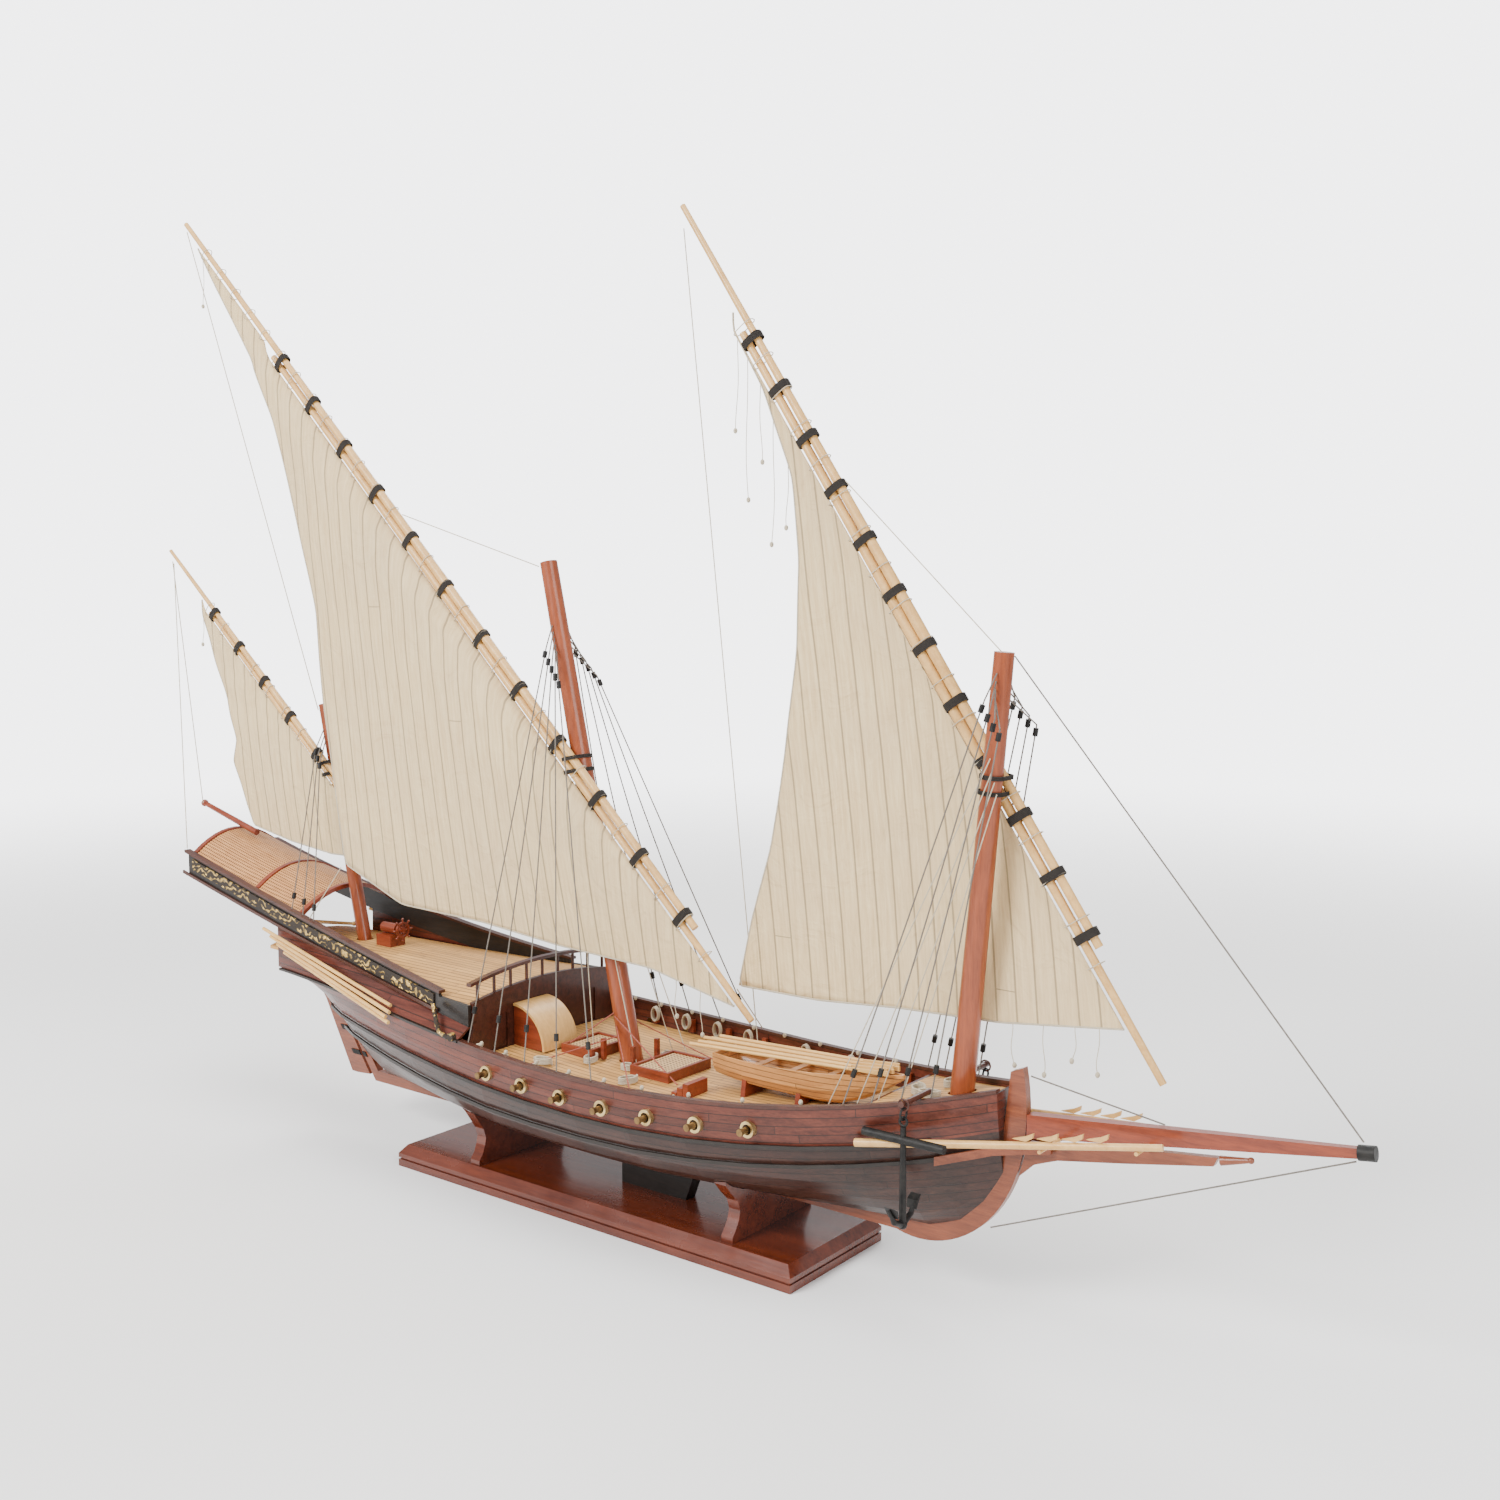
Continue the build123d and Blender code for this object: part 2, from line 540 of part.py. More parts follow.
# ---------------------------------------------------------------- deck furniture, guns and boats
def make_waist_furniture():
    front = BULKHEAD_X + 2.0
    low = deck_top(front + 14) + 0.2
    hood = rod((front, -28, low), (front, 2, low), 27.0) - rod((front, -29, low), (front, 3, low), 25.4)
    hood &= box_at((front + 20, -13, low + 20), (40, 40, 40))
    keep("companion_hood", clear_of(hood, "waist_deck"))
    joinery = []
    for y in (-26.6, 0.6):
        cheek = rod((front, y - 0.7, low), (front, y + 0.7, low), 25.3)
        joinery.append(cheek & box_at((front + 20, y, low + 20), (40, 40, 40)))
    gratings = []
    for x, size, height in ((-24.0, (26, 34), 5.0), (38.0, (30, 40), 5.0)):
        base = deck_top(x)
        ring = box_at((x, 0, base + height / 2), (size[0], size[1], height + 2))
        ring -= box_at((x, 0, base + height / 2), (size[0] - 4, size[1] - 4, height + 4))
        joinery.append(ring)
        gratings.append(box_at((x, 0, base + height - 0.9), (size[0] - 4.6, size[1] - 4.6, 1.6)))
    for i in range(3):
        joinery.append(box_at((70.0 + 4.2 * i, -26, deck_top(70) + 0.6 + 1.5 * i), (3.8, 18, 3.2 + 3.0 * i)))
    joinery = [clear_of(piece, "waist_deck", "companion_hood") for piece in joinery]
    posts = []
    for x in spread(-34.0, 180.0, 8):
        half = side_half(x, deck_top(x), PLANK) - 2.4
        posts.append(box_at((x, half, deck_top(x) + 4.4), (3.2, 2.4, 8.2)))
    for x in (-6.6, 17.6):
        for y in (-11.0, 11.0):
            joinery.append(box_at((x, y, deck_top(x) + 7.2), (2.6, 2.6, 13.0)))
    keep("deck_joinery", *joinery, *both_sides(posts))
    keep("hatch_gratings", *gratings)


def make_guns():
    barrels, wreaths = [], []
    for x in GUN_X:
        side, z = gun_spot(x)
        outer, inner = side + 8.0, side - PLANK
        barrel = rod((x, inner, z), (x, outer, z), 2.1, 1.5) + rod((x, outer - 1.6, z), (x, outer, z), 2.0)
        barrels.append(barrel)
        ring = rod((x, side - 2, z), (x, side + 1.7, z), 4.5) - rod((x, side - 3, z), (x, side + 3, z), 2.9)
        ring = clear_of(ring, "hull_planking") - inside_hull(x)
        wreaths.append(ring)
    keep("gun_barrels", *both_sides(barrels))
    keep("gunport_wreaths", *both_sides([solid for ring in wreaths for solid in ring.solids() if solid.volume > 5]))


def inside_hull(x):
    """Room inboard of the planking's outer face beside a gun port."""
    side, z = gun_spot(x)
    return box_at((x, side / 2 - 1.2, z), (14, side - 1.0, 14))


def make_boat():
    first, last, base = 80.0, 203.0, sheer_z(140) - WAIST_DEPTH + 4.0

    def body(inset):
        faces = []
        for x in spread(first + inset, last - 1.5 * inset, 11):
            t = (x - first) / (last - first)
            half = 17.5 * (1 - abs(2 * t - 0.85) ** 2.6 * 0.46) - inset
            floor = base + 20.5 * share((t - 0.62) / 0.38) ** 1.8 + 2.0 * share((0.3 - t) / 0.3) ** 2 + inset
            top = base + 15.0 + 6.5 * t + 1.5 * (2 * t - 1) ** 2
            half = max(half * (1 - share((t - 0.55) / 0.45) ** 2.2), 1.6 - inset)
            deep = top - floor
            shape = [(half, top + (3 if inset else 0)), (half * 0.96, floor + 0.5 * deep),
                     (half * 0.72, floor + 0.18 * deep), (0.45 * half, floor + 0.05 * deep), (0, floor)]
            points = [(x, y, z) for y, z in shape] + [(x, -y, z) for y, z in shape[-2::-1]]
            faces.append(make_face(Polyline(*points, close=True)))
        return loft(faces, ruled=True)

    hull, room = body(0.0), body(1.2)
    thwarts = []
    for x in (108.0, 130.0, 152.0):
        thwarts.append(box_at((x, 0, base + 12.5), (4.0, 60, 1.0)) & body(1.25))
    keep("ships_boat", hull - room, *thwarts)
    chocks = []
    for x in (104.0, 142.0):
        foot = deck_top(x)
        wedge = yz_plate([(-15, foot - 1), (15, foot - 1), (13, base + 6), (-13, base + 6)], 3.0, x)
        chocks.append(clear_of(wedge, "waist_deck") - hull - room)
    PIECES["deck_joinery"] += [solid for chock in chocks for solid in chock.solids() if solid.volume > 5]
    sweeps = []
    for i in range(6):
        y = -10.5 + 4.2 * i
        z = base + 20.0 + (0.9 if i % 2 else 0.0)
        oar = rod((62.0 + 3 * (i % 3), y, z - 1.6), (172.0, y * 0.7, z + 2.6), 1.0)
        blade = xz_plate([(171, z + 2.0), (197 - 2 * (i % 2), z + 3.0), (197 - 2 * (i % 2), z + 5.4),
                          (171, z + 3.4)], 1.2, y * 0.7)
        sweeps.append(oar + blade)
    keep("boat_sweeps", *sweeps)


def make_stowed_sweeps():
    """Long sweeps lashed outboard along each quarter side."""
    sweeps = []
    for i in range(4):
        ends = []
        for x, z in ((-300.0 + 9 * i, 141.6 - 4.4 * i), (-141.0 + 3 * (i % 2), 114.8 - 3.2 * i)):
            ends.append((x, quarter_half(x, z) + 4.6, z))
        sweeps.append(rod(ends[0], ends[1], 1.2))
    keep("stowed_sweeps", *both_sides(sweeps))


def make_anchors():
    x, y, z = ANCHOR
    foot = z - 61.5
    iron = rod((x, y, z - 10.4), (x, y, foot), 1.5, 1.9) + Pos(x, y, foot) * Sphere(2.5)
    for side in (-1, 1):
        elbow = (x, y + side * 8, foot + 3.5)
        tip = (x, y + side * 13, foot + 11.0)
        fluke = [(y + side * 8.6, foot + 6), (y + side * 13, foot + 12.6), (y + side * 9.2, foot + 10.4)]
        iron += rod((x, y, foot), elbow, 1.8, 1.5)
        iron += Pos(*elbow) * Sphere(1.5)
        iron += rod(elbow, tip, 1.5, 0.7)
        iron += yz_plate(fluke, 6.0, x)
    iron += Pos(x, y, z - 7.75) * Rot(90, 0, 0) * Torus(2.2, 0.7)
    stock = rod((x - 24, y, z - 17.4), (x + 24, y, z - 17.4), 2.3) - iron
    ring = Pos(x, y, z - 3.9) * Rot(0, 90, 0) * Torus(3.0, 0.6)
    keep("anchor_port", iron, stock, ring)
    keep("anchor_starboard", mirrored(iron), mirrored(stock), mirrored(ring))
    beam = rod((x, 17.0, z + 1.6), (x, y + 2.4, z + 1.6), 1.6)
    sling = Pos(x, y, z + 0.9) * Rot(90, 0, 0) * Torus(2.9, 0.5)
    keep("catheads", *both_sides([beam, sling]))


# ---------------------------------------------------------------- masts, yards, sails
def make_mast(name):
    deck, head, deck_r, head_r, heel_z = MASTS[name]
    keep(f"{name}_mast", rod(mast_point(name, heel_z), head, deck_r, head_r))


def mast_radius(name, z):
    deck, head, deck_r, head_r, heel_z = MASTS[name]
    return deck_r + (head_r - deck_r) * (z - heel_z) / (head.Z - heel_z)


def yard_frame(name):
    """Both ends of the yard's centre line and the directions along it and up across it."""
    side, peak, heel, radius = YARDS[name][:4]
    y = side * (MASTS[name][3] + 0.6 + radius + YARD_GAP)
    a, b = Vector(peak[0], y, peak[1]), Vector(heel[0], y, heel[1])
    along = (b - a).normalized()
    return a, b, along, Vector(-along.Z, 0, along.X)


def yard_cross_z(name):
    """Height at which the yard crosses its mast."""
    a, _, along, _ = yard_frame(name)
    deck, head = MASTS[name][:2]
    lean = (head.X - deck.X) / (head.Z - deck.Z)
    steep = along.X / along.Z
    return (a.X - deck.X + lean * deck.Z - steep * a.Z) / (lean - steep)


def make_yard(name):
    radius, lap_start, lap_end, count = YARDS[name][3:]
    a, b, along, across = yard_frame(name)
    up = across * (radius + 0.02)
    middle, lap_a, lap_b = (a + (b - a) * t for t in (0.52, lap_start, lap_end))
    upper = rod(a + up, middle + up, radius * 0.55, radius) + rod(middle + up, lap_b + up, radius, radius * 0.72)
    lower = rod(lap_a - up, middle - up, radius * 0.72, radius) + rod(middle - up, b - up, radius, radius * 0.62)
    keep(f"{name}_yard", upper, lower)
    bands = []
    for t in spread(0.02, 0.98, count):
        start = lap_a + (lap_b - lap_a) * t - along * (WOOLDING / 2)
        plane = Plane(origin=start, x_dir=across, z_dir=along)
        band = extrude(plane * SlotCenterToCenter(2 * radius, 2 * radius + 1.6), amount=WOOLDING)
        bands.append(band - extrude(plane * SlotCenterToCenter(2 * radius, 2 * radius + 0.1), amount=WOOLDING))

    deck, head = MASTS[name][:2]
    height = yard_cross_z(name)
    inner, reach = mast_radius(name, height) + 0.5, abs(a.Y) - 0.6
    side = YARDS[name][0]
    for shift in (-5.0, 3.0):
        plane = Plane(origin=mast_point(name, height), x_dir=(0, side, 0), z_dir=(head - deck).normalized())
        plane = plane.offset(shift)
        outline = Circle(inner + 1.2) + Pos(reach / 2, 0) * Rectangle(reach, 2 * inner + 2.4)
        room = Circle(inner) + Pos(reach / 2, 0) * Rectangle(reach + 1, 2 * inner)
        loop = extrude(plane * outline, amount=2.0) - extrude(plane * room, amount=2.0)
        loop -= rod(a + up, b + up, radius + 0.1) + rod(a - up, b - up, radius + 0.1)
        for band in bands:
            loop -= band
        bands += [solid for solid in loop.solids() if solid.volume > 6]
    keep(f"{name}_lashings", *bands)


def make_sail(name):
    """A flat panel below the yard, a little clear of its spars."""
    side, radius = YARDS[name][0], YARDS[name][3]
    a, _, along, across = yard_frame(name)
    edge = [Vector(x, a.Y, z) for x, z in SAILS[name]]
    drop = across * -(2 * radius + 1.0)
    first, last = (a + along * (point - a).dot(along) + drop for point in (edge[0], edge[-1]))
    points = [(first.X, first.Z)] + SAILS[name][1:-1] + [(last.X, last.Z)]
    panel = xz_plate(points, SAIL_THICK, a.Y)
    panel = panel.rotate(Axis(first, last - first), side * SAIL_TILT[name])
    keep(f"{name}_sail", panel)


# ---------------------------------------------------------------- rigging
def rail_point(x, side):
    """Where a shroud is made fast: on the gunwale, or on the quarter rail."""
    if x < BOARD_START_X:
        return (x, side * (rail_half(x) - 1.0), rail_z(x) + 2.6)
    return (x, side * (sheer_half(x) - 1.2), sheer_z(x) + 2.5)


def make_shrouds():
    ropes, blocks = [], []
    for name, feet in SHROUDS.items():
        knee_x, knee_y, knee_z = PENDANT[name]
        for side in (-1, 1):
            for i, x in enumerate(feet):
                knee = (knee_x + 3.6 * i, side * (knee_y + 1.2 * i), knee_z - 4.6 * i)
                top_z = knee_z + 13.0 - 4.0 * i
                top = mast_point(name, top_z) + Vector(0, side * (mast_radius(name, top_z) + ROPE_R + 0.1), 0)
                foot = rail_point(x, side)
                lower = between(knee, foot, 0.92)
                ropes.append(rod(top, knee, ROPE_R) + rod(knee, foot, ROPE_R))
                for centre in (between(knee, foot, 0.02), lower):
                    plane = Plane(origin=centre, z_dir=Vector(*foot) - Vector(*knee))
                    blocks.append(plane * (Cylinder(1.4, 4.2) - Cylinder(ROPE_R + 0.1, 6)))
    keep("shrouds", *ropes)
    blocks = [clear_of(block, "shrouds") for block in blocks]
    keep("shroud_blocks", *[solid for block in blocks for solid in block.solids() if solid.volume > 3])


def on_yard(name, t, out):
    a, b, _, across = yard_frame(name)
    return a + (b - a) * t + across * out


def make_lines():
    """Stays, which nothing moves, and lines that lead from a yard or a sail to the ship."""
    main, fore, mizzen = (MASTS[name][1] for name in MASTS)
    keep("stays",
         rod(fore + Vector(5.9, 0, -2), (441, 0, 131.4), ROPE_R),
         rod((256.0, 0, 46.4), (438.0, 0, 122.0), ROPE_R),
         rod((277.8, 0, 131), (349, 0, 120.4), ROPE_R))
    above = 2 * YARDS["main"][3] + 1.2
    peak = on_yard("main", 0.006, -0.4)
    clew = Vector(-245.5, -20.6, 187.5)
    keep("main_running_lines",
         rod(on_yard("main", 0.44, above), main + Vector(-2, -6.6, -3), LINE_R),
         rod(peak, mizzen + Vector(-1, -4.9, -4), LINE_R),
         rod(clew, rail_point(-251, -1), LINE_R))
    peak = on_yard("fore", 0.02, -3.4)
    keep("fore_running_lines",
         rod(on_yard("fore", 0.36, above), fore + Vector(-2, 6.4, -3), LINE_R),
         rod(peak, (88, 24, deck_top(88) + 0.2), LINE_R),
         rod((81.5, peak.Y, 144.5), rail_point(52, 1), LINE_R))
    peak = on_yard("mizzen", 0.02, -2.8)
    keep("mizzen_running_lines",
         rod(peak, (-436, -3.6, 216.5), LINE_R),
         rod(peak + Vector(1.6, 0, -1.6), rail_point(-404, -1), LINE_R))


make_stand()
make_hull()
make_upper_works()
make_decks()
make_poop()
make_head()
make_rudder()
make_helm()
make_waist_furniture()
make_guns()
make_boat()
make_stowed_sweeps()
make_anchors()
for mast in MASTS:
    make_mast(mast)
    make_yard(mast)
    make_sail(mast)
make_shrouds()
make_lines()

os.makedirs("parts", exist_ok=True)
for name, solids in PIECES.items():
    export_step(Compound(children=solids), f"parts/{name}.step")
    print(name, len(solids), round(sum(solid.volume for solid in solids) / 1000, 3), "cm3")
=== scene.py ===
# %% [markdown]
# # A xebec on its stand
# This lesson dresses a three-masted display model. Its frame, made as solid parts, comes in first:
# hull, decks, masts and yards are already the right shape, so most of them only need a good finish.
# Cloth and cord can't be left as stiff solids, so those are modelled again further down.

import math

import bpy
import numpy as np
from mathutils import Matrix, Vector


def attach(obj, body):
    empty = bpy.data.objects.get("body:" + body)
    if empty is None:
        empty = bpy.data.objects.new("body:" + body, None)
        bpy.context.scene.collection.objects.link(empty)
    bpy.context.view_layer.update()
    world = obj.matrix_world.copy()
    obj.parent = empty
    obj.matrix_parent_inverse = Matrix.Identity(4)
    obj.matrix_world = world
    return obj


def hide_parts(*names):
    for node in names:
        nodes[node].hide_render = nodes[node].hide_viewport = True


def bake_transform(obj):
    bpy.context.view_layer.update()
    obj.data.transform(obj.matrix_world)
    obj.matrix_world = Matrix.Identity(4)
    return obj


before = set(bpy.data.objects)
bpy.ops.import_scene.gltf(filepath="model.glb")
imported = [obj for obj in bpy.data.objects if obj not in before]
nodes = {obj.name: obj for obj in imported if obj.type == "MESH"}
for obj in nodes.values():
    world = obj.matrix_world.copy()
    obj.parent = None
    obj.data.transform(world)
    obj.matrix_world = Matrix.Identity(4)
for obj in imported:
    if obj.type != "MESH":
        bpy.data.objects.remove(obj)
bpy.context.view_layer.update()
bpy.ops.object.select_all(action="DESELECT")
print("frame pieces:", len(nodes))

# %% [markdown]
# ## The camera
# The model is seen from ahead of its starboard beam, a little above the rail. A lens of 37 mm at
# that distance keeps the long yards from looking bent. Nothing is out of focus.

# %% Camera
camera = bpy.data.objects.new("camera", bpy.data.cameras.new("camera"))
bpy.context.scene.collection.objects.link(camera)
camera.location = (0.6306, -0.6961, 0.3669)
camera.rotation_euler = (math.radians(90 - 5.01), 0, math.radians(37.41))
camera.data.lens = 37.13
camera.data.shift_y = -0.0033
camera.data.clip_start = 0.01
bpy.context.scene.camera = camera

# %% [markdown]
# ## Shader groups
# Nearly every piece here is wood, rope or cloth. An effect that several finishes share is a node
# group with named inputs, so it is built once and each material gives it its own numbers. A group
# returns only masks and heights. The shader that uses them stays in the material.

# %% Small helpers for node trees
def node(tree, kind, inputs=None, **settings):
    """Adds a node, sets its attributes, and sets its inputs by name."""
    made = tree.nodes.new(kind)
    for key, value in settings.items():
        setattr(made, key, value)
    for label, value in (inputs or {}).items():
        made.inputs[label].default_value = value
    return made


def math_node(tree, operation, a, b=None, clamp=False):
    made = node(tree, "ShaderNodeMath", operation=operation, use_clamp=clamp)
    for place, value in enumerate((a, b)):
        if value is None:
            continue
        if isinstance(value, (int, float)):
            made.inputs[place].default_value = value
        else:
            tree.links.new(value, made.inputs[place])
    return made.outputs[0]


def scaled(tree, value, factor, offset=0):
    """A value times a factor, plus an offset."""
    product = math_node(tree, "MULTIPLY", value, factor)
    return math_node(tree, "ADD", product, offset) if offset else product


def new_group(name, inputs, outputs):
    tree = bpy.data.node_groups.new(name, "ShaderNodeTree")
    for label, kind, value in inputs:
        socket = tree.interface.new_socket(label, in_out="INPUT", socket_type=kind)
        if value is not None:
            socket.default_value = value
    for label in outputs:
        tree.interface.new_socket(label, in_out="OUTPUT", socket_type="NodeSocketFloat")
    return tree, tree.nodes.new("NodeGroupInput").outputs, tree.nodes.new("NodeGroupOutput").inputs


FLOAT, VECTOR = "NodeSocketFloat", "NodeSocketVector"

# %% [markdown]
# ### Wood grain
# Grain is long and thin, so the position is squeezed along the plank before a noise reads it. A
# second, finer noise makes the pores.

# %% Wood grain
grain, g_in, g_out = new_group(
    "Wood Grain",
    [("Vector", VECTOR, None), ("Stretch", VECTOR, (0.12, 1, 1)), ("Fineness", FLOAT, 300),
     ("Contrast", FLOAT, 1)],
    ["Tone", "Pores"],
)
squeezed = node(grain, "ShaderNodeVectorMath", operation="MULTIPLY")
grain.links.new(g_in["Vector"], squeezed.inputs[0])
grain.links.new(g_in["Stretch"], squeezed.inputs[1])
broad = node(grain, "ShaderNodeTexNoise", {"Detail": 5.0, "Roughness": 0.62, "Distortion": 0.5})
fine = node(grain, "ShaderNodeTexNoise", {"Detail": 3.0})
for texture, factor in ((broad, 1.0), (fine, 5.0)):
    grain.links.new(squeezed.outputs[0], texture.inputs["Vector"])
    grain.links.new(math_node(grain, "MULTIPLY", g_in["Fineness"], factor), texture.inputs["Scale"])
broad_tone = scaled(grain, math_node(grain, "SUBTRACT", broad.outputs[0], 0.5), 2.2)
pore_tone = scaled(grain, math_node(grain, "SUBTRACT", fine.outputs[0], 0.5), 0.9)
contrasted = math_node(grain, "MULTIPLY", math_node(grain, "ADD", broad_tone, pore_tone), g_in["Contrast"])
grain.links.new(math_node(grain, "ADD", contrasted, 0.5, clamp=True), g_out["Tone"])
grain.links.new(fine.outputs[0], g_out["Pores"])
print("group:", grain.name)

# %% [markdown]
# ### Plank seams
# A planked surface is a row of strips. Dividing one coordinate by the strip's width numbers the
# strips, and a random number for each gives it its own shade and moves its butt joints.

# %% Plank seams
planks, p_in, p_out = new_group(
    "Plank Seams",
    [("Across", FLOAT, 0), ("Along", FLOAT, 0), ("Width", FLOAT, 0.004), ("Length", FLOAT, 0.09),
     ("Gap", FLOAT, 0.07)],
    ["Seam", "Shade"],
)
BUTT_GAP = 0.0005
row = math_node(planks, "DIVIDE", p_in["Across"], p_in["Width"])
number = math_node(planks, "FLOOR", row)
chance = node(planks, "ShaderNodeTexWhiteNoise", noise_dimensions="1D")
planks.links.new(number, chance.inputs["W"])
lengths = math_node(planks, "DIVIDE", p_in["Along"], p_in["Length"])
shifted = math_node(planks, "ADD", lengths, chance.outputs[0])
place = math_node(planks, "FRACT", row)
edge = math_node(planks, "MINIMUM", place, math_node(planks, "SUBTRACT", 1, place))
side_seam = math_node(planks, "LESS_THAN", edge, p_in["Gap"])
from_end = math_node(planks, "MULTIPLY", math_node(planks, "FRACT", shifted), p_in["Length"])
butt = math_node(planks, "LESS_THAN", from_end, BUTT_GAP)
plank = node(planks, "ShaderNodeCombineXYZ")
planks.links.new(number, plank.inputs[0])
planks.links.new(math_node(planks, "FLOOR", shifted), plank.inputs[1])
shade = node(planks, "ShaderNodeTexWhiteNoise", noise_dimensions="3D")
planks.links.new(plank.outputs[0], shade.inputs["Vector"])
planks.links.new(math_node(planks, "MAXIMUM", side_seam, butt), p_out["Seam"])
planks.links.new(shade.outputs[0], p_out["Shade"])
print("group:", planks.name)

# %% [markdown]
# ### Depth below the gunwale
# The hull's strakes run parallel to its curved rail, not level. The rail's height is a cubic of the
# distance along the ship, so a few multiplications give how far any point lies below it.

# %% Depth below the gunwale
BOARD = 0.32  # the base board's length, which scales the hull's curves
SHEER = (0.079, 0.076, -0.038, 0.316)  # the rail's height as a cubic, highest power first
sheer, s_in, s_out = new_group("Depth Below Rail", [("Vector", VECTOR, None)], ["Depth", "Along"])
split = node(sheer, "ShaderNodeSeparateXYZ")
sheer.links.new(s_in["Vector"], split.inputs[0])
along = math_node(sheer, "DIVIDE", split.outputs[0], BOARD)
height = SHEER[0]
for factor in SHEER[1:]:
    height = math_node(sheer, "ADD", math_node(sheer, "MULTIPLY", along, height), factor)
rail = math_node(sheer, "MULTIPLY", height, BOARD)
sheer.links.new(math_node(sheer, "SUBTRACT", rail, split.outputs[2]), s_out["Depth"])
sheer.links.new(split.outputs[0], s_out["Along"])
print("group:", sheer.name)

# %% [markdown]
# ### Rope lay
# Twisted cord shows slanted strands. A wave texture across a diagonal gives the strands, and a
# noise keeps them from looking printed.

# %% Rope lay
lay, l_in, l_out = new_group("Rope Lay", [("Vector", VECTOR, None), ("Strands", FLOAT, 700)],
                             ["Strand", "Fuzz"])
strand = node(lay, "ShaderNodeTexWave", {"Distortion": 0.6}, bands_direction="DIAGONAL")
lay.links.new(l_in["Vector"], strand.inputs["Vector"])
lay.links.new(l_in["Strands"], strand.inputs["Scale"])
fuzz = node(lay, "ShaderNodeTexNoise")
lay.links.new(l_in["Vector"], fuzz.inputs["Vector"])
lay.links.new(math_node(lay, "MULTIPLY", l_in["Strands"], 1.4), fuzz.inputs["Scale"])
lay.links.new(strand.outputs["Fac"], l_out["Strand"])
lay.links.new(fuzz.outputs[0], l_out["Fuzz"])
print("group:", lay.name)

# %% [markdown]
# ### Handling wear
# Varnish on an old model is uneven: large soft patches are duller or paler. One slow noise serves
# every finish.

# %% Handling wear
wear, w_in, w_out = new_group("Handling Wear", [("Vector", VECTOR, None), ("Patch Scale", FLOAT, 35)],
                              ["Patches"])
patch = node(wear, "ShaderNodeTexNoise", {"Detail": 4.0})
wear.links.new(w_in["Vector"], patch.inputs["Vector"])
wear.links.new(w_in["Patch Scale"], patch.inputs["Scale"])
stretch_patch = node(wear, "ShaderNodeMapRange", {"From Min": 0.35, "From Max": 0.68})
wear.links.new(patch.outputs[0], stretch_patch.inputs[0])
wear.links.new(stretch_patch.outputs[0], w_out["Patches"])
print("group:", wear.name)

# %% [markdown]
# ## Wooden finishes
# One function makes every wood. It mixes a dark and a light tone by the grain, lets seams and worn
# patches change the colour, and drives roughness and bump from the same masks. Glossy pieces get a
# clear coat, set on the shader itself.

# %% Wood function
def use_group(tree, group, **values):
    made = node(tree, "ShaderNodeGroup", node_tree=group)
    for label, value in values.items():
        socket = made.inputs[label.replace("_", " ")]
        if isinstance(value, bpy.types.NodeSocket):
            tree.links.new(value, socket)
        else:
            socket.default_value = value
    return made.outputs


def mix(tree, factor, a, b):
    made = node(tree, "ShaderNodeMix", data_type="RGBA")
    for place, value in ((0, factor), (6, a), (7, b)):
        if isinstance(value, bpy.types.NodeSocket):
            tree.links.new(value, made.inputs[place])
        else:
            made.inputs[place].default_value = (*value, 1) if isinstance(value, tuple) else value
    return made.outputs[2]


def finish_shader(name, roughness, coat=0.0, metallic=0.0):
    material = bpy.data.materials.new(name)
    material.use_nodes = True
    tree = material.node_tree
    shader = tree.nodes["Principled BSDF"]
    shader.inputs["Roughness"].default_value = roughness
    shader.inputs["Metallic"].default_value = metallic
    shader.inputs["Coat Weight"].default_value = coat
    shader.inputs["Coat Roughness"].default_value = 0.12
    shader.inputs["Specular IOR Level"].default_value = 0.32
    place = node(tree, "ShaderNodeTexCoord").outputs["Object"]
    return material, tree, shader, place


def connect_bump(tree, shader, height, distance):
    bump = node(tree, "ShaderNodeBump", {"Distance": distance})
    tree.links.new(height, bump.inputs["Height"])
    tree.links.new(bump.outputs[0], shader.inputs["Normal"])


def wood(name, dark, light, stretch=(0.1, 1, 1), fineness=260, contrast=1.0, roughness=0.42, coat=0.0,
         seams=None):
    """seams is (axis across, axis along, plank width, plank length, seam darkness)."""
    material, tree, shader, place = finish_shader(name, roughness, coat)
    fibres = use_group(tree, grain, Vector=place, Stretch=stretch, Fineness=fineness, Contrast=contrast)
    worn = use_group(tree, wear, Vector=place)
    colour = mix(tree, fibres["Tone"], dark, light)
    pale = tuple(min(1.0, value * 1.25 + 0.01) for value in light)
    colour = mix(tree, scaled(tree, worn["Patches"], 0.22), colour, pale)
    relief = scaled(tree, fibres["Pores"], 0.25)
    if seams:
        across, length_axis, width, length, darkness = seams
        parts = node(tree, "ShaderNodeSeparateXYZ")
        tree.links.new(place, parts.inputs[0])
        rows = use_group(tree, planks, Across=parts.outputs[across], Along=parts.outputs[length_axis],
                         Width=width, Length=length)
        shaded = math_node(tree, "SUBTRACT", rows["Shade"], 0.35)
        varied = math_node(tree, "MULTIPLY", shaded, 0.5, clamp=True)
        colour = mix(tree, varied, colour, tuple(value * 0.55 for value in dark))
        colour = mix(tree, scaled(tree, rows["Seam"], darkness), colour, (0.03, 0.02, 0.015))
        relief = math_node(tree, "SUBTRACT", relief, rows["Seam"])
    tree.links.new(colour, shader.inputs["Base Color"])
    tree.links.new(scaled(tree, worn["Patches"], 0.12, roughness - 0.04), shader.inputs["Roughness"])
    connect_bump(tree, shader, relief, 0.0003)
    return material


# %% [markdown]
# ### The woods of the model
# Each colour pair is the dark and the light of one wood, as plain light values. The stand is the
# glossiest. Masts stand upright, so their grain is squeezed along the height. Decks and the boat
# have seams.

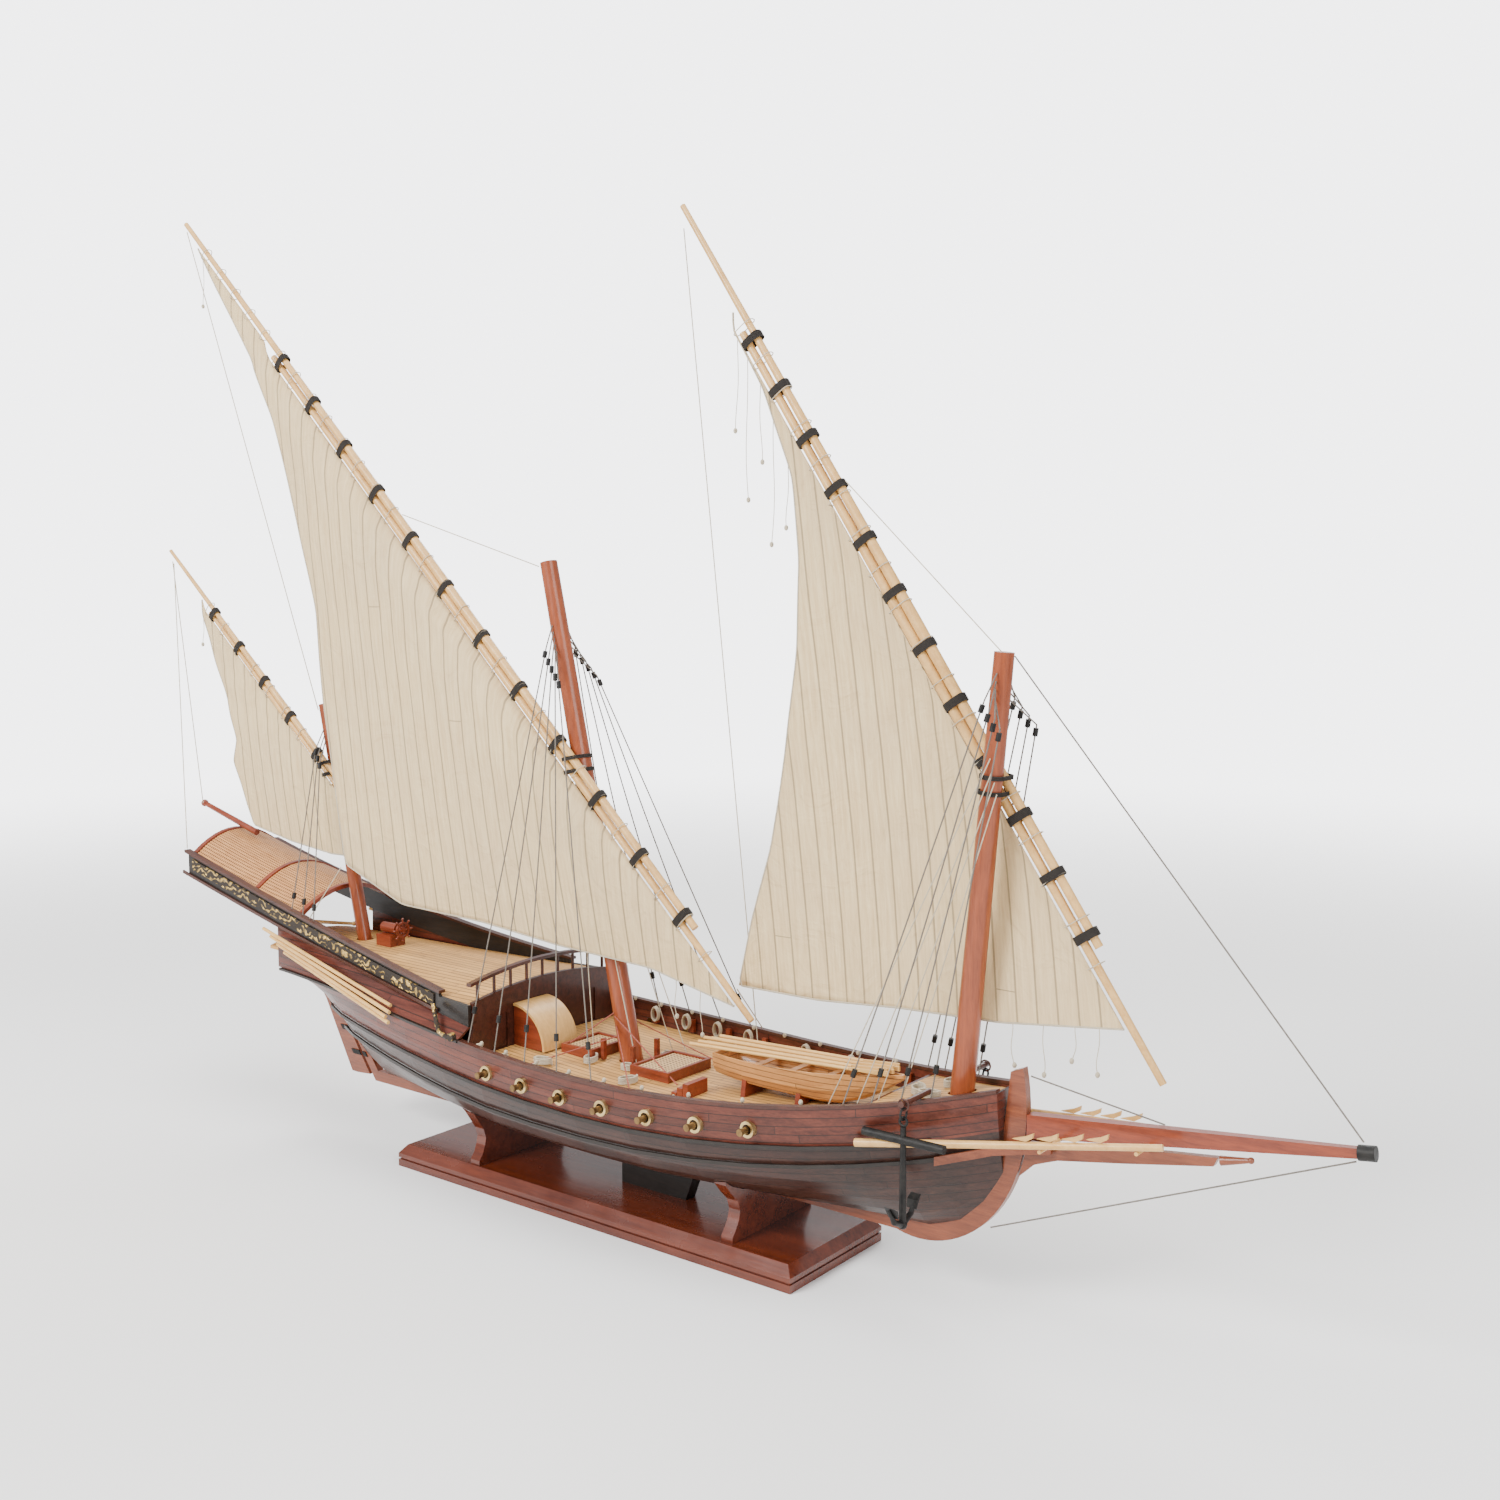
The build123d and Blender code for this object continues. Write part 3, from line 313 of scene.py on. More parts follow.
# %% Woods
stand_mahogany = wood("Glossy mahogany", (0.050, 0.008, 0.003), (0.130, 0.024, 0.008), fineness=120,
                      roughness=0.22, coat=0.5)
mast_pine = wood("Stained mast", (0.13, 0.024, 0.007), (0.31, 0.068, 0.019), stretch=(1, 1, 0.08),
                 fineness=380, contrast=0.7, roughness=0.36, coat=0.35)
keel_mahogany = wood("Keel mahogany", (0.10, 0.022, 0.008), (0.22, 0.056, 0.020), fineness=300,
                     roughness=0.34, coat=0.3)
dark_walnut = wood("Dark walnut trim", (0.022, 0.007, 0.004), (0.075, 0.020, 0.011), fineness=300,
                   roughness=0.4, coat=0.2)
red_brown = wood("Red-brown joinery", (0.10, 0.015, 0.005), (0.24, 0.042, 0.014), fineness=380,
                 roughness=0.38, coat=0.3)
maple_deck = wood("Maple deck", (0.40, 0.195, 0.052), (0.62, 0.345, 0.115), fineness=240, contrast=0.7,
                  roughness=0.5, seams=(1, 0, 0.0042, 0.085, 0.75))
boxwood = wood("Boxwood spars", (0.44, 0.23, 0.065), (0.68, 0.41, 0.145), stretch=(0.35, 1, 0.35),
               fineness=420, contrast=0.8, roughness=0.4, coat=0.15)
oar_wood = wood("Oar wood", (0.50, 0.26, 0.07), (0.74, 0.46, 0.16), fineness=420, contrast=0.8, coat=0.15)
boat_wood = wood("Amber boat planking", (0.36, 0.15, 0.045), (0.60, 0.29, 0.095), fineness=320,
                 roughness=0.36, coat=0.3, seams=(2, 0, 0.0032, 0.4, 0.6))
black_paint = wood("Black trim", (0.006, 0.005, 0.004), (0.020, 0.014, 0.011), roughness=0.4, coat=0.1)
print("woods:", len(bpy.data.materials))

# %% [markdown]
# ### The hull
# Two woods meet along the wale: mahogany above and a nearly black walnut below, both in narrow
# strakes that follow the rail. The depth group gives the strakes and the change of colour.

# %% Hull planking
WALE_DEPTH = 0.0205  # how far below the rail the wood changes
DARK_STRAKE = ((0.010, 0.005, 0.004), (0.046, 0.021, 0.014))


def strakes(name, upper):
    """Planking in narrow strakes; upper is the dark and the light of the wood above the wale."""
    material, tree, shader, place = finish_shader(name, 0.36, 0.12)
    lines = use_group(tree, sheer, Vector=place)
    rows = use_group(tree, planks, Across=lines["Depth"], Along=lines["Along"], Width=0.0047, Length=0.14,
                     Gap=0.055)
    fibres = use_group(tree, grain, Vector=place, Stretch=(0.09, 0.8, 1), Fineness=300, Contrast=1.0)
    worn = use_group(tree, wear, Vector=place, Patch_Scale=28)
    above = mix(tree, fibres["Tone"], *upper)
    below = mix(tree, fibres["Tone"], *DARK_STRAKE)
    colour = mix(tree, math_node(tree, "GREATER_THAN", lines["Depth"], WALE_DEPTH), above, below)
    shaded = math_node(tree, "SUBTRACT", rows["Shade"], 0.3)
    varied = math_node(tree, "MULTIPLY", shaded, 0.7, clamp=True)
    colour = mix(tree, varied, colour, DARK_STRAKE[0])
    colour = mix(tree, scaled(tree, worn["Patches"], 0.12), colour, upper[1])
    colour = mix(tree, scaled(tree, rows["Seam"], 0.7), colour, (0.012, 0.008, 0.006))
    tree.links.new(colour, shader.inputs["Base Color"])
    tree.links.new(scaled(tree, fibres["Tone"], 0.14, 0.28), shader.inputs["Roughness"])
    relief = math_node(tree, "SUBTRACT", scaled(tree, fibres["Pores"], 0.2), rows["Seam"])
    connect_bump(tree, shader, relief, 0.00035)
    return material


hull_strakes = strakes("Hull strakes", ((0.050, 0.010, 0.006), (0.150, 0.036, 0.020)))
quarter_strakes = strakes("Quarter strakes", ((0.050, 0.010, 0.006), (0.140, 0.033, 0.019)))
print("the wood changes", WALE_DEPTH, "m below the rail")

# %% [markdown]
# ### Grating
# A grating is a lattice of battens over gaps, and the gaps are painted near black as painted shade of the
# space below. Two square waves, one each way, leave the gaps, and the same mask sinks them.

# %% Grating
def lattice(name, batten, pitch):
    material, tree, shader, place = finish_shader(name, 0.45, 0.1)
    parts = node(tree, "ShaderNodeSeparateXYZ")
    tree.links.new(place, parts.inputs[0])
    bars = []
    for axis in (0, 1):
        step = math_node(tree, "FRACT", math_node(tree, "DIVIDE", parts.outputs[axis], pitch))
        bars.append(math_node(tree, "LESS_THAN", step, 0.5))
    solid = math_node(tree, "MAXIMUM", *bars)
    fibres = use_group(tree, grain, Vector=place, Fineness=420, Contrast=0.9)
    colour = mix(tree, fibres["Tone"], *batten)
    # painted shade: the gaps between the battens take a near-black brown instead of the darkness under the
    # grating
    colour = mix(tree, solid, (0.05, 0.018, 0.008), colour)
    tree.links.new(colour, shader.inputs["Base Color"])
    tree.links.new(scaled(tree, solid, -0.3, 0.75), shader.inputs["Roughness"])
    connect_bump(tree, shader, solid, 0.0007)
    return material


poop_lattice = lattice("Poop grating", ((0.40, 0.17, 0.055), (0.62, 0.31, 0.12)), 0.0021)
hatch_lattice = lattice("Hatch grating", ((0.46, 0.27, 0.11), (0.68, 0.44, 0.20)), 0.0026)
print("gratings:", poop_lattice.name, "and", hatch_lattice.name)

# %% [markdown]
# ### Carved gilding, metal and rope
# The frieze is gilt scrollwork on black. A warped wave gives lobes that repeat along the rail
# without copying any real carving. Brass and iron need little more than patchy roughness.

# %% Gilding, metals and rope
def gilding(name):
    material, tree, shader, place = finish_shader(name, 0.35)
    scroll = node(tree, "ShaderNodeTexVoronoi", {"Scale": 190, "Randomness": 0.55}, feature="SMOOTH_F1")
    tree.links.new(place, scroll.inputs["Vector"])
    bends = {"Scale": 75, "Distortion": 9.0, "Detail": 1.0, "Detail Scale": 2.0}
    curl = node(tree, "ShaderNodeTexWave", bends, wave_type="RINGS")
    tree.links.new(place, curl.inputs["Vector"])
    lobes = math_node(tree, "SUBTRACT", 0.62, scroll.outputs["Distance"])
    raised = node(tree, "ShaderNodeMapRange", {"From Min": 0.10, "From Max": 0.26})
    tree.links.new(math_node(tree, "MULTIPLY", lobes, curl.outputs["Fac"]), raised.inputs[0])
    mask = raised.outputs[0]
    colour = mix(tree, mask, (0.020, 0.013, 0.008), (0.60, 0.40, 0.13))
    tree.links.new(colour, shader.inputs["Base Color"])
    tree.links.new(scaled(tree, mask, 0.85), shader.inputs["Metallic"])
    tree.links.new(scaled(tree, mask, -0.22, 0.55), shader.inputs["Roughness"])
    connect_bump(tree, shader, mask, 0.0009)
    return material


def metal(name, dark, light, metallic, roughness):
    material, tree, shader, place = finish_shader(name, roughness, metallic=metallic)
    worn = use_group(tree, wear, Vector=place, Patch_Scale=160)
    tree.links.new(mix(tree, worn["Patches"], dark, light), shader.inputs["Base Color"])
    tree.links.new(scaled(tree, worn["Patches"], 0.2, roughness - 0.08), shader.inputs["Roughness"])
    connect_bump(tree, shader, worn["Patches"], 0.0002)
    return material


def rope(name, dark, light, strands=700):
    material, tree, shader, place = finish_shader(name, 0.85)
    twist = use_group(tree, lay, Vector=place, Strands=strands)
    shading = scaled(tree, math_node(tree, "ADD", twist["Strand"], twist["Fuzz"]), 0.5)
    tree.links.new(mix(tree, shading, dark, light), shader.inputs["Base Color"])
    tree.links.new(scaled(tree, twist["Fuzz"], 0.15, 0.75), shader.inputs["Roughness"])
    connect_bump(tree, shader, twist["Strand"], 0.0003)
    return material


gilt_frieze = gilding("Gilt scrollwork")
brass = metal("Aged brass", (0.42, 0.29, 0.12), (0.74, 0.57, 0.28), 0.9, 0.34)
bronze = metal("Dark bronze", (0.10, 0.055, 0.022), (0.26, 0.16, 0.065), 0.85, 0.42)
iron = metal("Blackened iron", (0.006, 0.006, 0.006), (0.022, 0.020, 0.018), 0.4, 0.5)
steel = metal("Screw steel", (0.4, 0.4, 0.4), (0.6, 0.6, 0.6), 1.0, 0.35)
cream_rope = rope("Cream cord", (0.42, 0.33, 0.21), (0.78, 0.70, 0.54))
red_rope = rope("Red tackle cord", (0.24, 0.050, 0.035), (0.52, 0.17, 0.12))
grey_rope = rope("Tarred cord", (0.10, 0.085, 0.07), (0.27, 0.235, 0.20))
black_rope = rope("Black binding cord", (0.010, 0.008, 0.007), (0.060, 0.050, 0.042), 900)
print("finishes so far:", len(bpy.data.materials))

# %% [markdown]
# ## Dress the frame
# Each frame piece whose shape is right keeps it and takes a finish in its material slots.

# %% Give the frame pieces their finishes
finishes = {
    stand_mahogany: ("base_board", "stand_cradles"),
    steel: ("cradle_screws",),
    black_paint: ("keel_block", "wales", "quarter_boards"),
    hull_strakes: ("hull_planking",),
    quarter_strakes: ("quarter_sides",),
    keel_mahogany: ("keel_and_stem", "rudder", "beak_knee"),
    gilt_frieze: ("quarter_carvings",),
    dark_walnut: ("gunwale_caps", "quarter_rails", "bulkheads", "balustrade", "catheads"),
    maple_deck: ("waist_deck", "forecastle_deck", "quarterdeck"),
    mast_pine: ("main_mast", "fore_mast", "mizzen_mast"),
    red_brown: ("poop_frame", "helm_stand", "helm_wheel", "deck_joinery", "beak_spar"),
    poop_lattice: ("poop_gratings",),
    hatch_lattice: ("hatch_gratings",),
    boxwood: ("main_yard", "fore_yard", "mizzen_yard", "head_rails", "tiller", "companion_hood"),
    oar_wood: ("boat_sweeps", "stowed_sweeps"),
    boat_wood: ("ships_boat",),
    brass: ("gunport_wreaths",),
    bronze: ("gun_barrels",),
    iron: ("anchor_port", "anchor_starboard", "sternpost_straps", "rudder_straps", "beak_collar",
           "shroud_blocks"),
    grey_rope: ("shrouds", "stays"),
}
for finish, names in finishes.items():
    for name in names:
        mesh = nodes[name].data
        mesh.materials.clear()
        mesh.materials.append(finish)
print("dressed", sum(len(names) for names in finishes.values()), "frame pieces")

# %% [markdown]
# ## Sails
# A lateen sail is a triangle of narrow cloths sewn side by side, laced to its yard along the head
# and free along the leech and foot. It is a sheet held on one edge and stretched by its sheet, so
# it is shaped as one: a patch is stretched between its four edges, then given its belly and the
# small creases that run out of the corners. The seams are in the cloth's own UV map, in metres.

# %% Sail cloth
CLOTH_WIDTH = 0.0118  # from one seam of a sail to the next


def sail_cloth(name):
    material, tree, shader, _ = finish_shader(name, 0.9)
    shader.inputs["Sheen Weight"].default_value = 0.15
    cloth = node(tree, "ShaderNodeUVMap", uv_map="cloth").outputs[0]
    parts = node(tree, "ShaderNodeSeparateXYZ")
    tree.links.new(cloth, parts.inputs[0])
    rows = use_group(tree, planks, Across=parts.outputs[0], Along=parts.outputs[1], Width=CLOTH_WIDTH,
                     Length=3.0, Gap=0.045)
    weave = [scaled(tree, math_node(tree, "SINE", scaled(tree, parts.outputs[axis], 9000)), 0.5)
             for axis in (0, 1)]
    woven = math_node(tree, "ADD", math_node(tree, "MULTIPLY", *weave), 0.5)
    slub = use_group(tree, grain, Vector=cloth, Stretch=(1, 0.06, 1), Fineness=500, Contrast=1.0)
    stain = use_group(tree, wear, Vector=cloth, Patch_Scale=16)
    colour = mix(tree, slub["Tone"], (0.68, 0.50, 0.26), (0.90, 0.73, 0.42))
    colour = mix(tree, scaled(tree, stain["Patches"], 0.30), colour, (0.66, 0.53, 0.345))
    colour = mix(tree, scaled(tree, woven, 0.10), colour, (0.40, 0.32, 0.21))
    colour = mix(tree, scaled(tree, rows["Seam"], 0.75), colour, (0.27, 0.20, 0.12))
    tree.links.new(colour, shader.inputs["Base Color"])
    folds = {"Scale": 34.0, "Detail": 5.0, "Roughness": 0.55, "Distortion": 1.6}
    rumple = node(tree, "ShaderNodeTexNoise", folds)
    tree.links.new(cloth, rumple.inputs["Vector"])
    relief = math_node(tree, "ADD", scaled(tree, woven, 0.05), scaled(tree, rows["Seam"], 0.2))
    relief = math_node(tree, "ADD", relief, scaled(tree, rumple.outputs[0], 2.4))
    connect_bump(tree, shader, relief, 0.0011)
    glow = node(tree, "ShaderNodeBsdfTranslucent")
    tree.links.new(mix(tree, 0.5, (0.84, 0.66, 0.38), colour), glow.inputs[0])
    both = node(tree, "ShaderNodeMixShader", {"Fac": 0.28})
    tree.links.new(shader.outputs[0], both.inputs[1])
    tree.links.new(glow.outputs[0], both.inputs[2])
    tree.links.new(both.outputs[0], tree.nodes["Material Output"].inputs[0])
    return material


linen = sail_cloth("Sewn linen")
print("one cloth is", CLOTH_WIDTH, "m wide")

# %% [markdown]
# ### The outline of each sail
# The leech and the foot are lists of points seen from the side, with just enough of them for their
# curves. Their outer ends are moved onto the head line, a little below the yard.

# %% Sail outlines
# side of the mast, y of the yard, its peak and heel as (x, z), drop below it, tilt, belly, then the
# points (x, z) of the leech and of the foot
SAILS = {
    "main": (-1, -0.0095, (-0.4277, 0.6515), (0.1088, 0.1357), 0.0072, 2.66, 0.010,
             [(-0.417, 0.628), (-0.342, 0.540), (-0.320, 0.503), (-0.292, 0.430), (-0.272, 0.366),
              (-0.264, 0.298), (-0.253, 0.242), (-0.243, 0.190)],
             [(-0.243, 0.190), (-0.185, 0.168), (-0.109, 0.165), (-0.040, 0.158), (0.032, 0.154),
              (0.094, 0.140)]),
    "fore": (1, 0.0093, (0.0396, 0.5975), (0.3466, 0.1385), 0.0072, 0.0, 0.008,
             [(0.078, 0.534), (0.100, 0.490), (0.119, 0.441), (0.124, 0.394), (0.122, 0.344),
              (0.115, 0.287), (0.105, 0.229), (0.092, 0.187), (0.083, 0.147)],
             [(0.083, 0.147), (0.140, 0.147), (0.193, 0.151), (0.254, 0.153), (0.322, 0.160)]),
    "mizzen": (-1, -0.0075, (-0.4644, 0.4106), (-0.196, 0.188), 0.0056, 0.0, 0.004,
               [(-0.425, 0.372), (-0.406, 0.329), (-0.391, 0.299), (-0.382, 0.269), (-0.386, 0.253),
                (-0.373, 0.224), (-0.364, 0.206)],
               [(-0.364, 0.206), (-0.319, 0.198), (-0.273, 0.193), (-0.212, 0.194)]),
}
# radius of each yard's spars, where they lap as shares of its length, and how many bindings they have
SPARS = {
    "main": (0.0031, 0.20, 0.915, 12),
    "fore": (0.0031, 0.16, 0.870, 12),
    "mizzen": (0.0023, 0.20, 0.900, 7),
}
print("sails:", ", ".join(SAILS))


def along_curve(points, share):
    """Points at equal shares of the length of a smooth line through (x, z) points."""
    points = np.array(points)
    steps = np.concatenate([[0], np.cumsum(np.linalg.norm(np.diff(points, axis=0), axis=1))])
    smooth = np.linspace(0, steps[-1], 400)
    fine_line = np.stack([np.interp(smooth, steps, points[:, axis]) for axis in (0, 1)], axis=1)
    for _ in range(30):
        fine_line[1:-1] = (fine_line[:-2] + fine_line[2:] + 2 * fine_line[1:-1]) / 4
    return np.stack([np.interp(share * steps[-1], smooth, fine_line[:, axis]) for axis in (0, 1)], axis=1)


def on_head(point, peak, heel, drop):
    """The point of the head line, a little below the yard, nearest to a point."""
    way = (heel - peak) / np.linalg.norm(heel - peak)
    return peak + way * np.dot(point - peak, way) + np.array([way[1], -way[0]]) * drop * np.sign(way[0])


def sail_edges(name):
    """The leech and the foot, with the ends that meet the head moved onto it."""
    _, _, peak, heel, drop, _, _, leech, foot = SAILS[name]
    peak, heel = np.array(peak), np.array(heel)
    start, tack = (on_head(np.array(point), peak, heel, drop) for point in (leech[0], foot[-1]))
    return [tuple(start)] + leech[1:], foot[:-1] + [tuple(tack)]


def inside_area(outline):
    outline = np.array(outline)
    ahead = np.roll(outline, -1, axis=0)
    return abs(float(np.sum(outline[:, 0] * ahead[:, 1] - ahead[:, 0] * outline[:, 1]))) / 2


# %% [markdown]
# ### The shape of the cloth
# Every point of a grid has two shares: u along the head and v down the leech. The patch blends head
# and foot by v, and adds what the curved leech departs from a straight one. Where the yard is a
# single spar the head rises to stay against it. The cloth then stands out from the yard's plane:
# tilted, full in its deep middle, creased below the head and slack along the leech.

# %% Patch, lift and belly
RISE_START, RISE_LENGTH, RISE_DEPTH, RISE_SHARE = 0.004, 0.014, 0.015, 0.84
DEEP = 0.17  # a sail this deep takes its whole belly
CREASE, SLACK = 0.0012, 0.0016


def stretch_patch(leech, foot, u, v):
    """Points (x, z) of the flat patch, and the depth of the sail at each."""
    start, clew, tack = np.array(leech[0]), np.array(foot[0]), np.array(foot[-1])
    top = start + u[:, None] * (tack - start)
    bottom, edge = along_curve(foot, u), along_curve(leech, v)
    plain_edge = (1 - v)[:, None] * start + v[:, None] * clew
    spot = (1 - v)[:, None] * top + v[:, None] * bottom + (1 - u)[:, None] * (edge - plain_edge)
    return spot, np.linalg.norm(top - bottom, axis=1)


def raise_head(name, spot, below, way):
    """Lifts the head where the yard is a single spar, less and less further down."""
    _, _, peak, heel, drop = SAILS[name][:5]
    peak, heel = np.array(peak), np.array(heel)
    lone_spar = SPARS[name][1] * np.linalg.norm(heel - peak)
    lift = np.clip((lone_spar - RISE_START - (spot - peak) @ way) / RISE_LENGTH, 0, 1)
    lift = lift * lift * (3 - 2 * lift) * np.exp(-below / RISE_DEPTH) * RISE_SHARE * drop
    return spot + lift[:, None] * np.array([-way[1], way[0]])


def stand_out(name, u, v, below, depth):
    """How far each point stands out from the plane of its yard."""
    tilt, belly = SAILS[name][5:7]
    full = np.sin(np.pi * v ** 0.85) * np.sin(np.pi * (0.08 + 0.84 * u)) ** 0.8
    full = full * np.clip(depth / DEEP, 0, 1) ** 1.5
    creases = np.sin(v * 38 + u * 26) * np.exp(-4 * v) + np.sin(u * 60 - v * 9) * 0.5 * v * (1 - u)
    slack = np.sin(v * np.pi * 9) * np.exp(-14 * u) * 0.9
    ripples = CREASE * creases * full + SLACK * slack * full
    return below * math.tan(math.radians(tilt)) + belly * full + ripples


# %% [markdown]
# ### From grid to cloth
# The grid is a primitive whose points are moved to their places. Its doubles at the corners are
# merged and its normals made consistent before Solidify gives it a thickness.

# %% Make a sail
ACROSS, DOWN = 110, 90
CLOTH_THICKNESS = 0.0005
SEAM_LEAN, SEAM_SHIFT = 0.13, 0.6  # the seams lean aft, and the shift keeps their numbers positive


def sew(sail, place):
    """Puts the cloth's own UV map on the grid, closes its corners and gives it a thickness."""
    uv = sail.data.uv_layers[0]
    uv.name = "cloth"
    corner = np.array([loop.vertex_index for loop in sail.data.loops])
    across_seams = place[:, 0] + SEAM_LEAN * place[:, 2] + SEAM_SHIFT
    uv.data.foreach_set("uv", np.stack([across_seams, place[:, 2]], axis=1)[corner].ravel())
    bpy.ops.object.mode_set(mode="EDIT")
    bpy.ops.mesh.select_all(action="SELECT")
    bpy.ops.mesh.remove_doubles(threshold=0.00002)
    bpy.ops.mesh.normals_make_consistent(inside=False)
    bpy.ops.object.mode_set(mode="OBJECT")
    bpy.ops.object.shade_smooth()
    thick = sail.modifiers.new("thickness", "SOLIDIFY")
    thick.thickness = CLOTH_THICKNESS
    thick.offset = 0
    bpy.ops.object.modifier_apply(modifier="thickness")
    sail.data.materials.clear()
    sail.data.materials.append(linen)
    bpy.ops.object.select_all(action="DESELECT")


def shape_sail(name):
    """The sail, the size and area it is cut to, and the lines of its leech and foot."""
    side, y = SAILS[name][:2]
    leech, foot = sail_edges(name)
    bpy.ops.mesh.primitive_grid_add(x_subdivisions=ACROSS, y_subdivisions=DOWN, size=1)
    sail = bpy.context.object
    sail.name = f"{name}_sail_cloth"
    flat = np.empty(len(sail.data.vertices) * 3)
    sail.data.vertices.foreach_get("co", flat)
    u, v = (np.clip(flat.reshape(-1, 3)[:, axis] + 0.5, 0, 1) for axis in (0, 1))
    spot, depth = stretch_patch(leech, foot, u, v)
    head = np.array(foot[-1]) - np.array(leech[0])
    way = head / np.linalg.norm(head)
    from_start = spot - np.array(leech[0])
    below = np.abs(from_start[:, 0] * way[1] - from_start[:, 1] * way[0])
    spot = raise_head(name, spot, below, way)
    out = stand_out(name, u, v, below, depth)
    place = np.stack([spot[:, 0], y + side * out, spot[:, 1]], axis=1)
    sail.data.vertices.foreach_set("co", place.ravel())
    sew(sail, place)
    on_foot = np.flatnonzero(np.abs(v - 1) < 1e-6)
    edge_line = [tuple(place[i]) for i in np.lexsort((v, u))[:DOWN]]
    foot_line = [tuple(place[i]) for i in on_foot[np.argsort(u[on_foot])]]
    cut = (float(np.linalg.norm(head)), float(below.max()))
    return sail, cut, inside_area(leech + foot[1:]), edge_line, foot_line


# %% [markdown]
# ### Cords
# A cord is a line of points with a bevel, made into a mesh. Many cords that ride together are one
# curve, so a whole row of ties is one piece. A sail's hem carries such a cord, the boltrope.

# %% Make cords, then the sails with their boltropes
def cord_bundle(name, lines, radius, finish, body, closed=False, sides=2):
    """Cords along lists of points, as one bevelled curve made into a mesh."""
    curve = bpy.data.curves.new(name, "CURVE")
    curve.dimensions = "3D"
    curve.bevel_depth = radius
    curve.bevel_resolution = sides
    curve.use_fill_caps = True
    for points in lines:
        line = curve.splines.new("POLY")
        line.points.add(len(points) - 1)
        line.use_cyclic_u = closed
        for target, point in zip(line.points, points):
            target.co = (*point, 1)
    made = bpy.data.objects.new(name, curve)
    bpy.context.scene.collection.objects.link(made)
    bpy.context.view_layer.objects.active = made
    made.select_set(True)
    bpy.ops.object.convert(target="MESH")
    made = bpy.context.object
    bpy.ops.object.shade_smooth()
    made.data.materials.clear()
    made.data.materials.append(finish)
    bpy.ops.object.select_all(action="DESELECT")
    if body:
        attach(made, body)
    return made


edges = {}
for name in SAILS:
    sail, cut, area, edge_line, foot_line = shape_sail(name)
    edges[name] = edge_line + foot_line[1:]
    hem = cord_bundle(f"{name}_sail_boltrope", [edges[name]], 0.0006, cream_rope, f"{name}_rig")
    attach(sail, f"{name}_rig")
    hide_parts(f"{name}_sail")
    print(name, "sail: head", round(cut[0], 3), "m, depth", round(cut[1], 3), "m,", round(area * 1e4), "cm2")

# %% [markdown]
# ## Robands
# Short cords, the robands, tie each sail to its yard at even steps. A loop is a closed line of
# points around the spar, so a whole row of them is one curve made into a mesh.

# %% Tie the sails to their yards
ROBAND_PITCH = 0.0236  # from one roband to the next, along the yard
FIRST_ROBAND = 0.012  # from the sail's upper corner to the first


def yard_lines(name):
    """The yard's peak, its direction, the way down across it, and its length."""
    _, y, peak, heel = SAILS[name][:4]
    peak, heel = Vector((peak[0], y, peak[1])), Vector((heel[0], y, heel[1]))
    way = (heel - peak).normalized()
    return peak, way, Vector((way.z, 0, -way.x)), (heel - peak).length


def hugging_loop(centre, down, above, below, aside):
    """A closed loop, rounder than a box, that reaches above and below a centre."""
    loop = []
    for k in range(16):
        c, s = math.cos(math.tau * k / 16), math.sin(math.tau * k / 16)
        drop = (below if c > 0 else -above) * abs(c) ** 0.75
        loop.append(centre + down * drop + Vector((0, math.copysign(abs(s) ** 0.6, s) * aside, 0)))
    return loop


for name, (_, y, _, _, drop, _, _, leech, foot) in SAILS.items():
    radius, lap_start, lap_end, _ = SPARS[name]
    peak, way, down, length = yard_lines(name)
    first = (Vector((leech[0][0], y, leech[0][1])) - peak).dot(way)
    last = (Vector((foot[-1][0], y, foot[-1][1])) - peak).dot(way)
    loops = []
    for i in range(int((last - first) / ROBAND_PITCH)):
        run = first + FIRST_ROBAND + ROBAND_PITCH * i
        # where the yard is a single spar, the loop is shorter on the side of the missing one
        above = 0.0007 if run / length > lap_end else 2 * radius + 0.0005
        below = 0.0021 if run / length < lap_start - 0.01 else drop + 0.0009
        loops.append(hugging_loop(peak + way * run, down, above, below, radius + 0.0004))
    ties = cord_bundle(f"{name}_robands", loops, 0.00028, cream_rope, f"{name}_rig", closed=True)
    print(name, "has", len(loops), "robands")

# %% [markdown]
# ## Wooldings and parrels
# Each yard is two spars lapped side by side. Black cord is wound round both, six turns to a band,
# and a looser loop, the parrel, holds the yard to its mast. The frame's plain bands only keep the
# place, so cord that really goes round takes over from them.

# %% Wind the wooldings
MAST_LINES = {  # foot and head of each mast's centre line, and its radius at the yard
    "main": (Vector((0.005, 0, 0.099)), Vector((-0.0602, 0, 0.3965)), 0.0059),
    "fore": (Vector((0.2384, 0, 0.1174)), Vector((0.2592, 0, 0.3456)), 0.0058),
    "mizzen": (Vector((-0.247, 0, 0.1322)), Vector((-0.2867, 0, 0.2992)), 0.0047),
}
TURN = 0.00078  # from one turn of a band to the next
CLEAR = 0.0005  # the cord's own radius and a little play
PARREL_TURNS = (-0.0052, -0.0044, -0.0036, 0.0030, 0.0038, 0.0046)  # up and down the mast


def woolding_turns(name):
    """Six turns round both spars for each band of the yard."""
    radius, lap_start, lap_end, count = SPARS[name]
    peak, way, down, length = yard_lines(name)
    turns = []
    for i in range(count):
        share = lap_start + (lap_end - lap_start) * (0.02 + 0.96 * i / (count - 1))
        for k in range(6):
            centre = peak + way * (length * share + TURN * (k - 2.5))
            turns.append(hugging_loop(centre, down, 2 * radius + CLEAR, 2 * radius + CLEAR, radius + CLEAR))
    return turns


